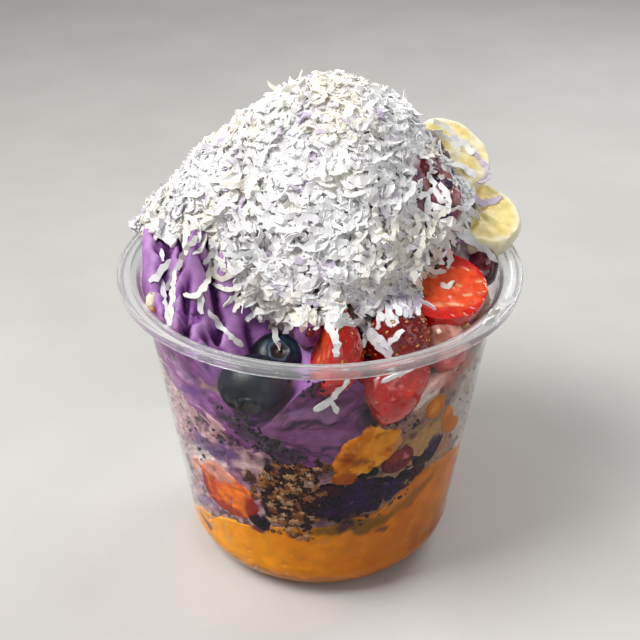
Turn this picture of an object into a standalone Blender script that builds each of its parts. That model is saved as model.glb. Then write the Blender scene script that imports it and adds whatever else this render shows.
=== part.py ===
"""Halo-halo: layers of mango, milky ice and purple yam ice cream in a clear plastic cup,
with fruit at the rim and a heap of shredded coconut on top.

Metres, Z up, the cup's axis on Z and its base on Z = 0. The front is -Y.
"""

import math

import bmesh
import bpy
import numpy as np
from mathutils import Matrix, Vector

MM = 0.001

# Driving dimensions
CUP_HEIGHT = 95 * MM
RIM_RADIUS = 59 * MM
HEEL_RADIUS = 41.85 * MM  # outside of the wall where the rounded heel begins
HEEL_ROUND = 13 * MM
SKIRT_RADIUS = 52.6 * MM  # outside of the wall just under the rim
SKIRT_DROP = 2.6 * MM
WALL = 0.8 * MM
GAP = 0.3 * MM
MANGO_MIDDLE = 26 * MM  # heights of the layers' upper boundaries on the cup's axis
ICE_MIDDLE = 66 * MM
ICE_CREAM_LEVEL = 88 * MM  # top of the ice cream before its bumps and hollows
ROOM_FLOOR = 60 * MM
ROOM_TOP = 200 * MM
HEAP_FLOOR = 80 * MM
HEAP_PEAK = 151 * MM
HEAP_LIFT = 3 * MM  # least height of the heap's edge above what is under it
HEAP_RIPPLE = 1.2 * MM
CUP_STEPS = 40  # sides of the turned cup
SECTORS = 28  # sides of the layers and of the heap
FRUIT_SIDES = 12

# Each material's colour, roughness and transmission
LOOKS = {
    "clear_plastic": ((0.95, 0.96, 0.97), 0.08, 1.0),
    "mango": ((0.75, 0.33, 0.02), 0.35),
    "milky_ice": ((0.78, 0.68, 0.66), 0.45),
    "ube": ((0.34, 0.13, 0.42), 0.5),
    "ube_jam": ((0.05, 0.01, 0.08), 0.3),
    "granola": ((0.36, 0.21, 0.1), 0.8),
    "papaya": ((0.75, 0.2, 0.03), 0.35),
    "red_bean": ((0.22, 0.02, 0.02), 0.25),
    "blueberry": ((0.03, 0.04, 0.08), 0.45),
    "strawberry": ((0.62, 0.02, 0.01), 0.25),
    "lychee": ((0.75, 0.5, 0.45), 0.3),
    "plum": ((0.17, 0.03, 0.06), 0.3),
    "banana": ((0.85, 0.72, 0.35), 0.45),
    "coconut": ((0.9, 0.9, 0.9), 0.6),
}

# Heights round the wall, as (degrees from the front, positive to the right, height in mm)
MANGO_EDGE = [(-180, 20), (-130, 12), (-90, 7), (-75, 11), (-60, 19), (-45, 23), (-30, 27), (0, 31),
              (20, 34), (32, 40), (45, 46), (60, 44), (90, 34), (130, 26), (180, 20)]
ICE_EDGE = [(-180, 62), (-130, 58), (-90, 57), (-70, 63), (-55, 58), (-30, 53), (-10, 54), (5, 58),
            (15, 70), (30, 73), (50, 78), (75, 82), (110, 80), (150, 68), (180, 62)]

# Bumps and hollows of the ice cream's top: x, y, height and spread in mm
ICE_CREAM_BUMPS = [(-8, 8, 24, 26), (-34, -13, 9, 9), (-50, 2, 7, 8), (-13, -33, -21, 12),
                   (-20, -48, -13, 8), (0, -46, 3, 7), (23, -36, -15, 13), (38, -16, -8, 12)]

# Reach of the coconut round its middle: degrees from the front, and mm
HEAP_REACH = [(-180, 53), (-150, 57), (-120, 60), (-100, 60), (-86, 54), (-68, 37), (-45, 31), (-20, 31),
              (0, 33), (25, 35), (50, 33), (70, 37), (90, 44), (110, 48), (130, 51), (155, 53), (180, 53)]
HEAP_MIDDLE = (3 * MM, 2 * MM)


def clear_scene():
    for item in list(bpy.data.objects):
        bpy.data.objects.remove(item)


def collection(name, hidden=False):
    made = bpy.data.collections.new(name)
    bpy.context.scene.collection.children.link(made)
    made.hide_render = hidden
    return made


def material(name, colour, roughness=0.5, transmission=0.0):
    made = bpy.data.materials.new(name)
    made.use_nodes = True
    shader = made.node_tree.nodes["Principled BSDF"]
    shader.inputs["Base Color"].default_value = (*colour, 1)
    shader.inputs["Roughness"].default_value = roughness
    shader.inputs["Transmission Weight"].default_value = transmission
    return made


def add_object(name, mesh, home, look=None):
    if look:
        mesh.materials.append(look)
    mesh.shade_smooth()
    made = bpy.data.objects.new(name, mesh)
    home.objects.link(made)
    return made


def mesh_object(name, points, faces, home, look=None):
    mesh = bpy.data.meshes.new(name)
    mesh.from_pydata([tuple(p) for p in points], [], faces)
    mesh.validate()
    return add_object(name, mesh, home, look)


def shaped_object(name, shape, home, look):
    """An object from a bmesh, which is freed. Its flat ends become triangles and stay flat when they grow."""
    bmesh.ops.triangulate(shape, faces=shape.faces[:])
    mesh = bpy.data.meshes.new(name)
    shape.to_mesh(mesh)
    shape.free()
    return add_object(name, mesh, home, look)


def round_wall(stops, degrees):
    """A height or reach in metres at an angle from the front, from its list in mm."""
    angles, values = zip(*stops)
    return float(np.interp((degrees + 180) % 360 - 180, angles, values)) * MM


def wall_radius(z, inset=0.0):
    """Outside radius of the cup's wall at a height, less an inset."""
    if z >= HEEL_ROUND:
        rise = (z - HEEL_ROUND) / (CUP_HEIGHT - SKIRT_DROP - HEEL_ROUND)
        return HEEL_RADIUS + (SKIRT_RADIUS - HEEL_RADIUS) * rise - inset
    inner = HEEL_ROUND - inset
    drop = min(inner, HEEL_ROUND - z)
    return HEEL_RADIUS - HEEL_ROUND + math.sqrt(max(inner ** 2 - drop ** 2, 0))


def cup_profile():
    """The cup's section, from the middle of the floor inside, over the rim, to the middle outside."""
    heel = [i * math.pi / 12 for i in range(1, 6)]
    middle = HEEL_RADIUS - HEEL_ROUND
    inside = [(0, WALL), (middle, WALL)]
    inside += [(middle + (HEEL_ROUND - WALL) * math.sin(a), HEEL_ROUND - (HEEL_ROUND - WALL) * math.cos(a))
               for a in heel]
    inside += [(HEEL_RADIUS - WALL, HEEL_ROUND), (SKIRT_RADIUS - WALL, CUP_HEIGHT - SKIRT_DROP)]
    rim = [(RIM_RADIUS - 4.6 * MM, CUP_HEIGHT - 0.4 * MM), (RIM_RADIUS - 3.9 * MM, CUP_HEIGHT),
           (RIM_RADIUS - 0.7 * MM, CUP_HEIGHT), (RIM_RADIUS, CUP_HEIGHT - 0.6 * MM),
           (RIM_RADIUS - 0.2 * MM, CUP_HEIGHT - SKIRT_DROP), (RIM_RADIUS - 1.1 * MM, CUP_HEIGHT - SKIRT_DROP),
           (RIM_RADIUS - 1.2 * MM, CUP_HEIGHT - 0.9 * MM), (RIM_RADIUS - 3.8 * MM, CUP_HEIGHT - 0.9 * MM)]
    outside = [(SKIRT_RADIUS, CUP_HEIGHT - SKIRT_DROP - 0.6 * MM), (HEEL_RADIUS, HEEL_ROUND)]
    outside += [(middle + HEEL_ROUND * math.sin(a), HEEL_ROUND * (1 - math.cos(a))) for a in reversed(heel)]
    outside += [(middle, 0), (0, 0)]
    return inside + rim + outside


def cup_room_profile():
    """Section of the space that food may fill: the cup's inside less a gap, and everything above the rim."""
    inset = WALL + GAP
    heights = [inset, 4 * MM, 8 * MM, HEEL_ROUND, CUP_HEIGHT - SKIRT_DROP]
    wall = [(0, inset)] + [(wall_radius(z, inset), z) for z in heights]
    reach = 1.5 * RIM_RADIUS
    above = [(RIM_RADIUS - 5.2 * MM, CUP_HEIGHT + GAP), (reach, CUP_HEIGHT + GAP), (reach, ROOM_TOP),
             (0, ROOM_TOP)]
    return list(reversed(wall + above))


def turned(name, profile, home, look=None):
    """A profile at +X turned round Z."""
    edges = [(i, i + 1) for i in range(len(profile) - 1)]
    mesh = bpy.data.meshes.new(name)
    mesh.from_pydata([(r, 0, z) for r, z in profile], edges, [])
    made = add_object(name, mesh, home, look)
    screw = made.modifiers.new("turn", "SCREW")
    screw.steps = screw.render_steps = CUP_STEPS
    screw.use_merge_vertices = True
    screw.merge_threshold = 0.00005
    screw.use_smooth_shade = True
    return made


def loft(rings):
    """Points and triangles through rings of equal length. A ring of one point is a pole. Each four-sided cell
    is split along its shorter diagonal, so that two layers with the same rings fit each other."""
    points, faces, starts = [], [], []
    for ring in rings:
        starts.append(len(points))
        points += [Vector(point) for point in ring]
    for low, high, a, b in zip(rings, rings[1:], starts, starts[1:]):
        count = max(len(low), len(high))
        for i in range(count):
            j = (i + 1) % count
            if len(low) == 1:
                faces.append((a, b + j, b + i))
            elif len(high) == 1:
                faces.append((a + i, a + j, b))
            elif (points[a + i] - points[b + j]).length < (points[a + j] - points[b + i]).length:
                faces += [(a + i, a + j, b + j), (a + i, b + j, b + i)]
            else:
                faces += [(a + i, a + j, b + i), (a + j, b + j, b + i)]
    return points, faces


def wall_ring(height, share=1.0, inset=WALL + GAP, middle=(0, 0), reach=None):
    """A ring of points. height takes the degrees from the front; reach does too, and defaults to the wall."""
    ring = []
    for i in range(SECTORS):
        degrees = 360 * i / SECTORS - 180
        turn = math.radians(degrees)
        z = height(degrees)
        radius = share * (reach(degrees) if reach else wall_radius(z, inset))
        ring.append((middle[0] + radius * math.sin(turn), middle[1] - radius * math.cos(turn), z))
    return ring


def boundary(edge, centre, degrees, share):
    """Height of the boundary between two layers at a share of the way from the axis to the wall."""
    return centre + (round_wall(edge, degrees) - centre) * share ** 1.5


def surface_rings(edge, centre, lift, shares=(0.75, 0.5, 0.25)):
    """Rings of a boundary from the wall to its pole. edge is the list of heights round the wall."""
    rings = [wall_ring(lambda d, s=share: boundary(edge, centre, d, s) + lift, share) for share in shares]
    return rings + [[(0, 0, centre + lift)]]


def ice_cream_top(x, y):
    """Height of the ice cream's top."""
    z = ICE_CREAM_LEVEL
    for bump_x, bump_y, height, spread in ICE_CREAM_BUMPS:
        away = (x / MM - bump_x) ** 2 + (y / MM - bump_y) ** 2
        z += height * MM * math.exp(-away / (2 * spread ** 2))
    return z


def ice_cream_share(degrees):
    """The ice cream meets the wall all round but on the right, where fruit stands against it."""
    return 1 - 0.2 * math.exp(-((degrees - 52) / 38) ** 2)


def ice_cream_edge(degrees):
    """Radius at which the ice cream's top meets the wall."""
    turn = math.radians(degrees)
    z = ICE_CREAM_LEVEL
    for _ in range(6):
        radius = ice_cream_share(degrees) * wall_radius(min(z, CUP_HEIGHT - SKIRT_DROP), WALL + GAP)
        z = ice_cream_top(radius * math.sin(turn), -radius * math.cos(turn))
    return radius


def ice_cream_rings(lift, shares=(1.0, 0.86, 0.72, 0.55, 0.3)):
    rings = []
    for share in shares:
        ring = []
        for i in range(SECTORS):
            degrees = 360 * i / SECTORS - 180
            turn = math.radians(degrees)
            radius = share * ice_cream_edge(degrees)
            x, y = radius * math.sin(turn), -radius * math.cos(turn)
            ring.append((x, y, ice_cream_top(x, y) + lift))
        rings.append(ring)
    return rings + [[(0, 0, ice_cream_top(0, 0) + lift)]]


def mango_layer(home, look):
    rings = [[(0, 0, WALL + GAP)]]
    for share in (0.02, 0.18, 0.42, 0.7):
        rings.append(wall_ring(lambda d, s=share: max(WALL + GAP, s * round_wall(MANGO_EDGE, d))))
    rings.append(wall_ring(lambda d: round_wall(MANGO_EDGE, d)))
    rings += surface_rings(MANGO_EDGE, MANGO_MIDDLE, 0)
    return mesh_object("mango_puree", *loft(rings), home, look)


def ice_layer(home, look):
    rings = list(reversed(surface_rings(MANGO_EDGE, MANGO_MIDDLE, GAP)))
    rings.append(wall_ring(lambda d: round_wall(MANGO_EDGE, d) + GAP))
    rings.append(wall_ring(lambda d: round_wall(ICE_EDGE, d)))
    rings += surface_rings(ICE_EDGE, ICE_MIDDLE, 0)
    return mesh_object("milky_ice", *loft(rings), home, look)


def ice_cream_layer(home, look):
    rings = list(reversed(surface_rings(ICE_EDGE, ICE_MIDDLE, GAP)))
    edge = wall_ring(lambda d: boundary(ICE_EDGE, ICE_MIDDLE, d, ice_cream_share(d)) + GAP)
    keep = [ice_cream_share(360 * i / SECTORS - 180) for i in range(SECTORS)]
    rings.append([(x * k, y * k, z) for (x, y, z), k in zip(edge, keep)])
    rings += ice_cream_rings(0)
    return mesh_object("ube_ice_cream", *loft(rings), home, look)


def ice_cream_room(home):
    """Cutter: the ice cream with a gap above it, reaching below and out past the coconut."""
    top = ice_cream_rings(GAP)
    skirt = [(x * 1.4, y * 1.4, z) for x, y, z in top[0]]
    floor = [(x, y, ROOM_FLOOR) for x, y, _ in skirt]
    return mesh_object("ice_cream_room", *loft([[(0, 0, ROOM_FLOOR)], floor, skirt] + top), home)


def coconut_heap(home, look):
    """The heap out to its uneven outline."""
    def reach(degrees, share):
        return share * round_wall(HEAP_REACH, degrees)

    def top(degrees, share):
        turn = math.radians(degrees)
        edge_x = HEAP_MIDDLE[0] + reach(degrees, 1) * math.sin(turn)
        edge_y = HEAP_MIDDLE[1] - reach(degrees, 1) * math.cos(turn)
        edge_z = max(ice_cream_top(edge_x, edge_y), CUP_HEIGHT) + HEAP_LIFT
        ripple = HEAP_RIPPLE * math.sin(math.radians(5 * degrees) + 9 * share) * share
        return edge_z + (HEAP_PEAK - edge_z) * (1 - share ** 1.6) ** 0.72 + ripple

    rings = [[(*HEAP_MIDDLE, HEAP_FLOOR)]]
    rings.append(wall_ring(lambda d: HEAP_FLOOR, middle=HEAP_MIDDLE, reach=lambda d: reach(d, 1)))
    for share in (1.0, 0.9, 0.7, 0.45, 0.2):
        rings.append(wall_ring(lambda d, s=share: top(d, s), middle=HEAP_MIDDLE,
                               reach=lambda d, s=share: reach(d, s)))
    rings.append([(*HEAP_MIDDLE, HEAP_PEAK)])
    return mesh_object("coconut_heap", *loft(rings), home, look)


def place(made, centre, along=(1, 0, 0), up=(0, 0, 1)):
    """Moves the mesh itself, so that every object keeps its origin on the cup's axis. Its X goes along one
    direction and its Z as near as it can to another; the centre is in mm."""
    x_axis = Vector(along).normalized()
    z_axis = (Vector(up) - Vector(up).project(x_axis)).normalized()
    y_axis = z_axis.cross(x_axis)
    turn = Matrix((x_axis, y_axis, z_axis)).transposed().to_4x4()
    made.data.transform(Matrix.Translation(Vector(centre) * MM) @ turn)
    return made


def lay(made, centre, normal):
    """Places a flat piece by the direction its face looks."""
    return place(made, centre, Vector(normal).cross((0.2, 1, 0.1)), normal)


def ball(rows=7):
    """A sphere of radius 1 with its poles on X."""
    shape = bmesh.new()
    bmesh.ops.create_uvsphere(shape, u_segments=FRUIT_SIDES, v_segments=rows, radius=1)
    bmesh.ops.rotate(shape, verts=shape.verts, cent=(0, 0, 0), matrix=Matrix.Rotation(math.pi / 2, 3, "Y"))
    return shape


def lump(name, radii, home, look, rough=0.0, seed=0):
    """A round piece about the origin, radii in mm, made uneven by a few smooth waves."""
    shape = ball()
    for point in shape.verts:
        x, y, z = point.co
        wave = math.sin(3.1 * x + seed) + math.sin(2.7 * y + 2 * seed) + math.sin(3.7 * z + 3 * seed)
        wave += 0.6 * math.sin(6.3 * x + 5.1 * y + seed) * math.cos(5.7 * z - seed)
        size = MM * (1 + rough * wave / 3)
        point.co = (x * radii[0] * size, y * radii[1] * size, z * radii[2] * size)
    return shaped_object(name, shape, home, look)


def strawberry(name, length, radius, home, look, cuts=()):
    """A strawberry along X with its tip at +X, sizes in mm. Each cut is the direction of a flat and its
    distance."""
    shape = ball(rows=9)
    for point in shape.verts:
        x, y, z = point.co
        along = (1 + x) / 2
        around = math.hypot(y, z)
        girth = math.sin(math.pi * along ** 0.72) ** 0.7 / around if around > 0.001 else 0
        point.co = (length * MM * (along - 0.42), radius * MM * girth * y, radius * MM * girth * z)
        for *direction, out in cuts:
            point.co -= Vector(direction) * max(0, point.co.dot(direction) - out * MM)
    return shaped_object(name, shape, home, look)


def slice_of(name, radius, thickness, home, look, wobble=0.03):
    """A round slice lying flat about the origin, with a soft edge."""
    shape = bmesh.new()
    bmesh.ops.create_cone(shape, cap_ends=True, segments=18, radius1=radius * MM, radius2=radius * MM,
                          depth=thickness * MM)
    for point in shape.verts:
        point.co.x *= 1 + wobble * math.cos(3 * math.atan2(point.co.y, point.co.x))
    edges = [edge for edge in shape.edges if edge.verts[0].co.z * edge.verts[1].co.z > 0]
    bmesh.ops.bevel(shape, geom=edges, offset=thickness / 4 * MM, segments=1, affect="EDGES")
    return shaped_object(name, shape, home, look)


def at_wall(made, degrees, z, depth, climb=0.0):
    """Places a piece at a depth in mm from the wall's inside, its X along the wall, rising by the climb."""
    radius = wall_radius(z * MM, WALL) / MM - depth
    turn = math.radians(degrees)
    centre = (radius * math.sin(turn), -radius * math.cos(turn), z)
    return place(made, centre, (math.cos(turn), math.sin(turn), climb))


def room_for(made, home, gap=GAP):
    """Cutter: a copy of a piece, larger by the gap all round."""
    room = bpy.data.objects.new(made.name + "_room", made.data.copy())
    home.objects.link(room)
    grow = room.modifiers.new("grow", "DISPLACE")
    grow.strength = 1.35 * gap
    grow.mid_level = 0
    return room


def boolean(made, other, operation):
    change = made.modifiers.new(other.name, "BOOLEAN")
    change.object = other
    change.operation = operation
    change.solver = "EXACT"


def box_of(made, margin=0.0):
    points = np.array([v.co for v in made.data.vertices])
    return points.min(axis=0) - margin, points.max(axis=0) + margin


def near(one, other):
    low, high = box_of(one, 2 * GAP)
    low_other, high_other = box_of(other)
    return bool((low < high_other).all() and (low_other < high).all())


def fit_together(pieces, cutters):
    """Each piece keeps clear of those before it in the list."""
    rooms = [room_for(piece, cutters) for piece in pieces]
    for i, piece in enumerate(pieces):
        for j in range(i):
            if near(piece, rooms[j]):
                boolean(piece, rooms[j], "DIFFERENCE")
    return rooms


def strawberries(home, look):
    """An upright wedge in front, a cut one behind the wall, a whole one, a half and a small piece."""
    wedge = strawberry("strawberry_wedge", 27, 11, home, look, cuts=[(0, 0, 1, 0)])
    cut = strawberry("strawberry_cut", 27, 9.6, home, look, cuts=[(-1, 0, 0, 8)])
    whole = strawberry("strawberry_seeded", 20, 8.6, home, look)
    half = strawberry("strawberry_half", 32, 12.5, home, look, cuts=[(0, 0, 1, 0)])
    piece = lump("strawberry_piece", (6, 4.5, 4), home, look, 0.08, 5)
    return {
        "wedge": place(wedge, (0.8, -41.4, 89.2), (0.2, 0.3, 0.92), (-0.98, -0.15, 0.2)),
        "cut": place(cut, (18, -37.6, 76.2), (0.8, 0.5, 0.32)),
        "whole": place(whole, (21.6, -32.5, 89.5), (-0.93, -0.15, -0.3)),
        "half": place(half, (33, -20, 97), (-0.93, 0.06, 0.02), (0.1, -0.42, 0.9)),
        "piece": at_wall(piece, 50, 81, 4.5),
    }


def blueberries(home, look):
    """One behind the wall and one above it."""
    low = lump("blueberry_low", (9.8, 6.9, 7.8), home, look)
    high = lump("blueberry_high", (8.1, 8.1, 7), home, look)
    return [
        place(low, (-18.3, -38.8, 77.6), (0.9, 0.42, 0), (-0.42, -0.9, 0.3)),
        place(high, (-12.2, -25.6, 77.4), (1, 0, 0), (-0.1, -0.85, 0.5)),
    ]


def slices(home, banana, plum):
    """The slices that lean on the heap's right side."""
    return [
        lay(slice_of("plum_slice", 8.4, 4.6, home, plum), (44.4, 0, 93.5), (-0.5, -0.62, 0.6)),
        lay(slice_of("banana_slice_low", 14, 6.6, home, banana), (47, 12.5, 102.4), (0.25, -0.3, 0.92)),
        lay(slice_of("banana_slice_high", 13, 7.6, home, banana), (39.4, 25, 116), (0.42, -0.45, 0.78)),
    ]


def chunks_at_wall(home, looks):
    """What shows through the wall in front, between the layers."""
    return [
        at_wall(lump("granola", (10.2, 9, 14.5), home, looks["granola"], 0.09, 2), -12, 43.5, 6.5),
        at_wall(lump("red_bean", (6.2, 6, 5), home, looks["red_bean"], 0.05, 4), 32, 54, 3.6),
        at_wall(lump("mango_chunk", (12.5, 9, 9.8), home, looks["mango"], 0.08, 6), 16, 60, 6),
        at_wall(lump("mango_piece", (6, 5, 5.4), home, looks["mango"], 0.08, 7), 43, 68.5, 3),
        at_wall(lump("papaya_chunk", (12, 9, 10.6), home, looks["papaya"], 0.08, 8), -38, 39.5, 6, -0.2),
        at_wall(lump("ube_jam", (22, 15, 8.4), home, looks["ube_jam"], 0.06, 9), 21, 44.5, 11, 0.26),
    ]


def main():
    clear_scene()
    home = collection("halo_halo")
    cutters = collection("cutters", hidden=True)
    looks = {name: material(name, *look) for name, look in LOOKS.items()}

    turned("cup", cup_profile(), home, looks["clear_plastic"])
    room = turned("cup_room", cup_room_profile(), cutters)

    red = strawberries(home, looks["strawberry"])
    fruit = [red["wedge"], *blueberries(home, looks["blueberry"]), red["cut"], red["whole"], red["half"]]
    fruit.append(place(lump("lychee", (5.6, 5.6, 5.4), home, looks["lychee"]), (34, -29.6, 87)))
    fruit += slices(home, looks["banana"], looks["plum"])
    fruit.append(place(lump("plum_piece", (4.2, 5, 6), home, looks["plum"], 0.06, 3), (34.6, -6, 115)))
    fruit.append(place(lump("ube_piece", (4.2, 4, 6), home, looks["ube"], 0.08, 1), (-3.2, -33.5, 92.6)))
    pieces = [*fruit, red["piece"], *chunks_at_wall(home, looks)]
    rooms = fit_together(pieces, cutters)
    for piece in pieces:
        boolean(piece, room, "INTERSECT")

    heap = coconut_heap(home, looks["coconut"])
    boolean(heap, ice_cream_room(cutters), "DIFFERENCE")
    boolean(heap, room, "INTERSECT")
    layers = [mango_layer(home, looks["mango"]), ice_layer(home, looks["milky_ice"]),
              ice_cream_layer(home, looks["ube"]), heap]
    for layer in layers:
        for space in rooms:
            if near(layer, space):
                boolean(layer, space, "DIFFERENCE")
    for cutter in cutters.objects:
        cutter.hide_render = True
        cutter.display_type = "WIRE"


main()
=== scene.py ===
"""The looks of the halo-halo: clear cup, mango, milky ice, purple yam ice cream, fruit and shredded coconut,
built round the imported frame. Lengths are millimetres until a mesh is made, and angles are degrees round the
cup from its front, positive to the right."""

import itertools
import math

import bpy
import numpy as np
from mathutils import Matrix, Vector
from mathutils.bvhtree import BVHTree


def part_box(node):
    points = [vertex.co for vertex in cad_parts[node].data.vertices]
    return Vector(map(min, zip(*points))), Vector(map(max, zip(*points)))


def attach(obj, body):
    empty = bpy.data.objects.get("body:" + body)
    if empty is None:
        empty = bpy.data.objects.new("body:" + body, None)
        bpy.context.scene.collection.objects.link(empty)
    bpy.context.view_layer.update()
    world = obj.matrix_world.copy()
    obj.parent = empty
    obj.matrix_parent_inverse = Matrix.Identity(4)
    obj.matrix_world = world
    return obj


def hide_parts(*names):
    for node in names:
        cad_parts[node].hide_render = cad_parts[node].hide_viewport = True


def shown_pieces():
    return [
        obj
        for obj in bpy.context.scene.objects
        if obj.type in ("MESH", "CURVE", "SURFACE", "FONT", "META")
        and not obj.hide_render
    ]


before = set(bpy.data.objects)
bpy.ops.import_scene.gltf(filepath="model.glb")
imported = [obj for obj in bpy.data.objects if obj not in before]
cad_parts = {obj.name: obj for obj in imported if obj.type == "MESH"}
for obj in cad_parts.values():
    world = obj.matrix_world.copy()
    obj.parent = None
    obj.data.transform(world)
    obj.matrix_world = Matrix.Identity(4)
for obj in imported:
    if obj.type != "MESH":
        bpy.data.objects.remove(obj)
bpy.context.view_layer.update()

MM = 0.001  # a millimetre in metres


def node_box(node):
    """Lowest and highest corner of a CAD node in mm."""
    low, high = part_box(node)
    return np.array(low) / MM, np.array(high) / MM


def node_middle(node):
    """Middle of a CAD node's box in mm."""
    low, high = node_box(node)
    return (low + high) / 2


# The cup, as in the CAD
CUP_HIGH = node_box("cup")[1]
CUP_HEIGHT = float(CUP_HIGH[2])
RIM_RADIUS = float(CUP_HIGH[0])
HEEL_RADIUS = 41.85
HEEL_ROUND = 13.0
SKIRT_RADIUS = 52.6
SKIRT_DROP = 2.6
WALL_TOP = CUP_HEIGHT - SKIRT_DROP
WALL = 0.8
PRESS = 0.15  # how far the fillings reach into the wall, so that no air shows
CHUNK_PRESS = 0.4  # what stands in front of the fillings reaches further

# The camera and what it looks at, in mm
EYE = np.array([0.0, -309.0, 262.7])
TARGET = np.array([0.0, 0.0, 74.5])
DISTANCE = np.linalg.norm(TARGET - EYE)
VIEW = (TARGET - EYE) / DISTANCE
RIGHT = np.array([1.0, 0, 0])
UP = np.cross(RIGHT, VIEW)
LENS = 67.5
SENSOR = 36.0

# Boundaries of the layers round the wall: angle and height
MANGO_EDGE = [
    (-180, 20), (-130, 12), (-90, 7), (-75, 11), (-60, 19), (-45, 23), (-30, 27), (0, 31), (20, 34), (32, 40),
    (45, 46), (60, 44), (90, 34), (130, 26), (180, 20),
]
ICE_EDGE = [
    (-180, 62), (-130, 60), (-95, 63), (-70, 72), (-58, 69), (-45, 66), (-35, 62), (-23, 57.5), (-10, 55.5), (3, 54),
    (8, 57), (13, 65), (21, 68), (30, 72), (41, 77), (50, 78), (75, 82), (110, 80), (150, 68), (180, 62),
]
# Heights of the same boundaries at the cup's axis
MANGO_CENTRE = 26
ICE_CENTRE = 66
ICE_CREAM_LEVEL = 88.0
# Bumps and hollows of the ice cream's top: x, y, height and spread
ICE_CREAM_BUMPS = [
    (-8, 8, 24, 26), (-34, -13, 9, 9), (-50, 2, 7, 8), (-13, -33, -21, 12), (-20, -48, -13, 8), (0, -46, 3, 7),
    (23, -36, -15, 13), (38, -16, -8, 12),
]


# ---------------------------------------------------------------- numbers


def srgb(red, green, blue):
    """A colour given as 0 to 255, in linear light."""
    values = np.array([red, green, blue], float) / 255
    return tuple(np.where(values <= 0.04045, values / 12.92, ((values + 0.055) / 1.055) ** 2.4))


def noise(points, size, seed=0):
    """Smooth noise from -1 to 1, its lumps about the size apart, from a hash of each corner of a grid of cells."""
    at = np.asarray(points, float) / size + 31.7 * seed
    cell = np.floor(at).astype(np.int64)
    part = at - cell
    part = part * part * (3 - 2 * part)
    total = np.zeros(at.shape[:-1])
    for corner in itertools.product((0, 1), repeat=3):
        x, y, z = np.moveaxis(cell + corner, -1, 0)
        code = (x * 73856093) ^ (y * 19349663) ^ (z * 83492791) ^ (seed * 2654435)
        code = (code ^ (code >> 13)) * 1274126177 & 0xFFFFFFFF
        value = ((code ^ (code >> 16)) & 0xFFFF) / 32767.5 - 1
        weight = np.prod([part[..., k] if corner[k] else 1 - part[..., k] for k in range(3)], axis=0)
        total += value * weight
    return total


def rough(points, size, octaves=3, seed=0):
    """Noise with finer noise on it."""
    return sum(noise(points, size / 2 ** k, seed + k) / 2 ** k for k in range(octaves))


def ridges(points, size, seed=0):
    """Noise of sharp crests, from 0 to 1."""
    return 1 - np.abs(noise(points, size, seed))


def smooth(low, high, value):
    """A soft step from 0 at low to 1 at high, which may be the smaller of the two."""
    part = np.clip((value - low) / (high - low), 0, 1)
    return part * part * (3 - 2 * part)


def round_wall(stops, degrees):
    """A value at angles round the cup, from its list."""
    angles, values = zip(*stops)
    return np.interp((np.asarray(degrees) + 180) % 360 - 180, angles, values)


def wall_radius(z, inset=0.0):
    """Outside radius of the cup's wall at a height, less an inset."""
    z = np.asarray(z, float)
    rise = (z - HEEL_ROUND) / (WALL_TOP - HEEL_ROUND)
    straight = HEEL_RADIUS + (SKIRT_RADIUS - HEEL_RADIUS) * rise - inset
    inner = HEEL_ROUND - inset
    drop = np.clip(HEEL_ROUND - z, 0, inner)
    heel = HEEL_RADIUS - HEEL_ROUND + np.sqrt(inner ** 2 - drop ** 2)
    return np.where(z >= HEEL_ROUND, straight, heel)


def round_point(degrees, radius, z):
    """Points at angles round the cup, distances from its axis and heights."""
    turn = np.radians(degrees)
    return np.stack(np.broadcast_arrays(radius * np.sin(turn), -radius * np.cos(turn), z), -1)


def at_wall(degrees, z, depth):
    """Points at a depth behind the wall's inner face."""
    return round_point(degrees, wall_radius(z, WALL + np.asarray(depth, float)), z)


def angle_of(points):
    """Angles of points round the cup."""
    return np.degrees(np.arctan2(points[..., 0], -points[..., 1]))


def to_the_right(low, high, degrees):
    """0 left of low and 1 right of high, back to 0 behind the cup."""
    return smooth(low, high, degrees) * smooth(180, 130, degrees)


def mixed(first, second, share):
    """Two colours, or arrays of them, mixed by a share for each point."""
    share = np.asarray(share)[..., None]
    return np.asarray(first) * (1 - share) + np.asarray(second) * share


def unit(vectors):
    """Vectors made 1 long."""
    return vectors / np.maximum(np.linalg.norm(vectors, axis=1, keepdims=True), 1e-9)


# ---------------------------------------------------------------- meshes


# Angles in degrees from which an edge is shown sharp
CUT_EDGE = 50
SHRED_EDGE = 35


def new_mesh(name, points, faces):
    """A mesh from points in mm and an array of triangles."""
    mesh = bpy.data.meshes.new(name)
    points = np.asarray(points, float).reshape(-1, 3)
    faces = np.asarray(faces, np.int32)
    mesh.vertices.add(len(points))
    mesh.vertices.foreach_set("co", (points * MM).astype(np.float32).ravel())
    mesh.loops.add(faces.size)
    mesh.loops.foreach_set("vertex_index", faces.ravel())
    mesh.polygons.add(len(faces))
    mesh.polygons.foreach_set("loop_start", np.arange(0, faces.size, 3, dtype=np.int32))
    mesh.update(calc_edges=True)
    mesh.validate()
    return mesh


def new_object(name, data):
    """An object in the scene."""
    made = bpy.data.objects.new(name, data)
    bpy.context.scene.collection.objects.link(made)
    return made


def add_piece(name, points, faces, look, slot, stands_for=(), tint=None, sharp=None):
    """A shown piece that rides on the part. tint is a colour for each point or for all, read by the material."""
    mesh = new_mesh(name, points, faces)
    if tint is not None:
        layer = mesh.color_attributes.new("tint", "FLOAT_COLOR", "POINT")
        values = np.ones((len(mesh.vertices), 4), np.float32)
        values[:, :3] = np.asarray(tint).reshape(-1, 3)
        layer.data.foreach_set("color", values.ravel())
    mesh.materials.append(look)
    mesh.shade_smooth()
    if sharp:
        mesh.set_sharp_from_angle(angle=math.radians(sharp))
    piece = new_object(name, mesh)
    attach(piece, "root")
    if stands_for:
        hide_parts(*stands_for)
    return piece


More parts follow.
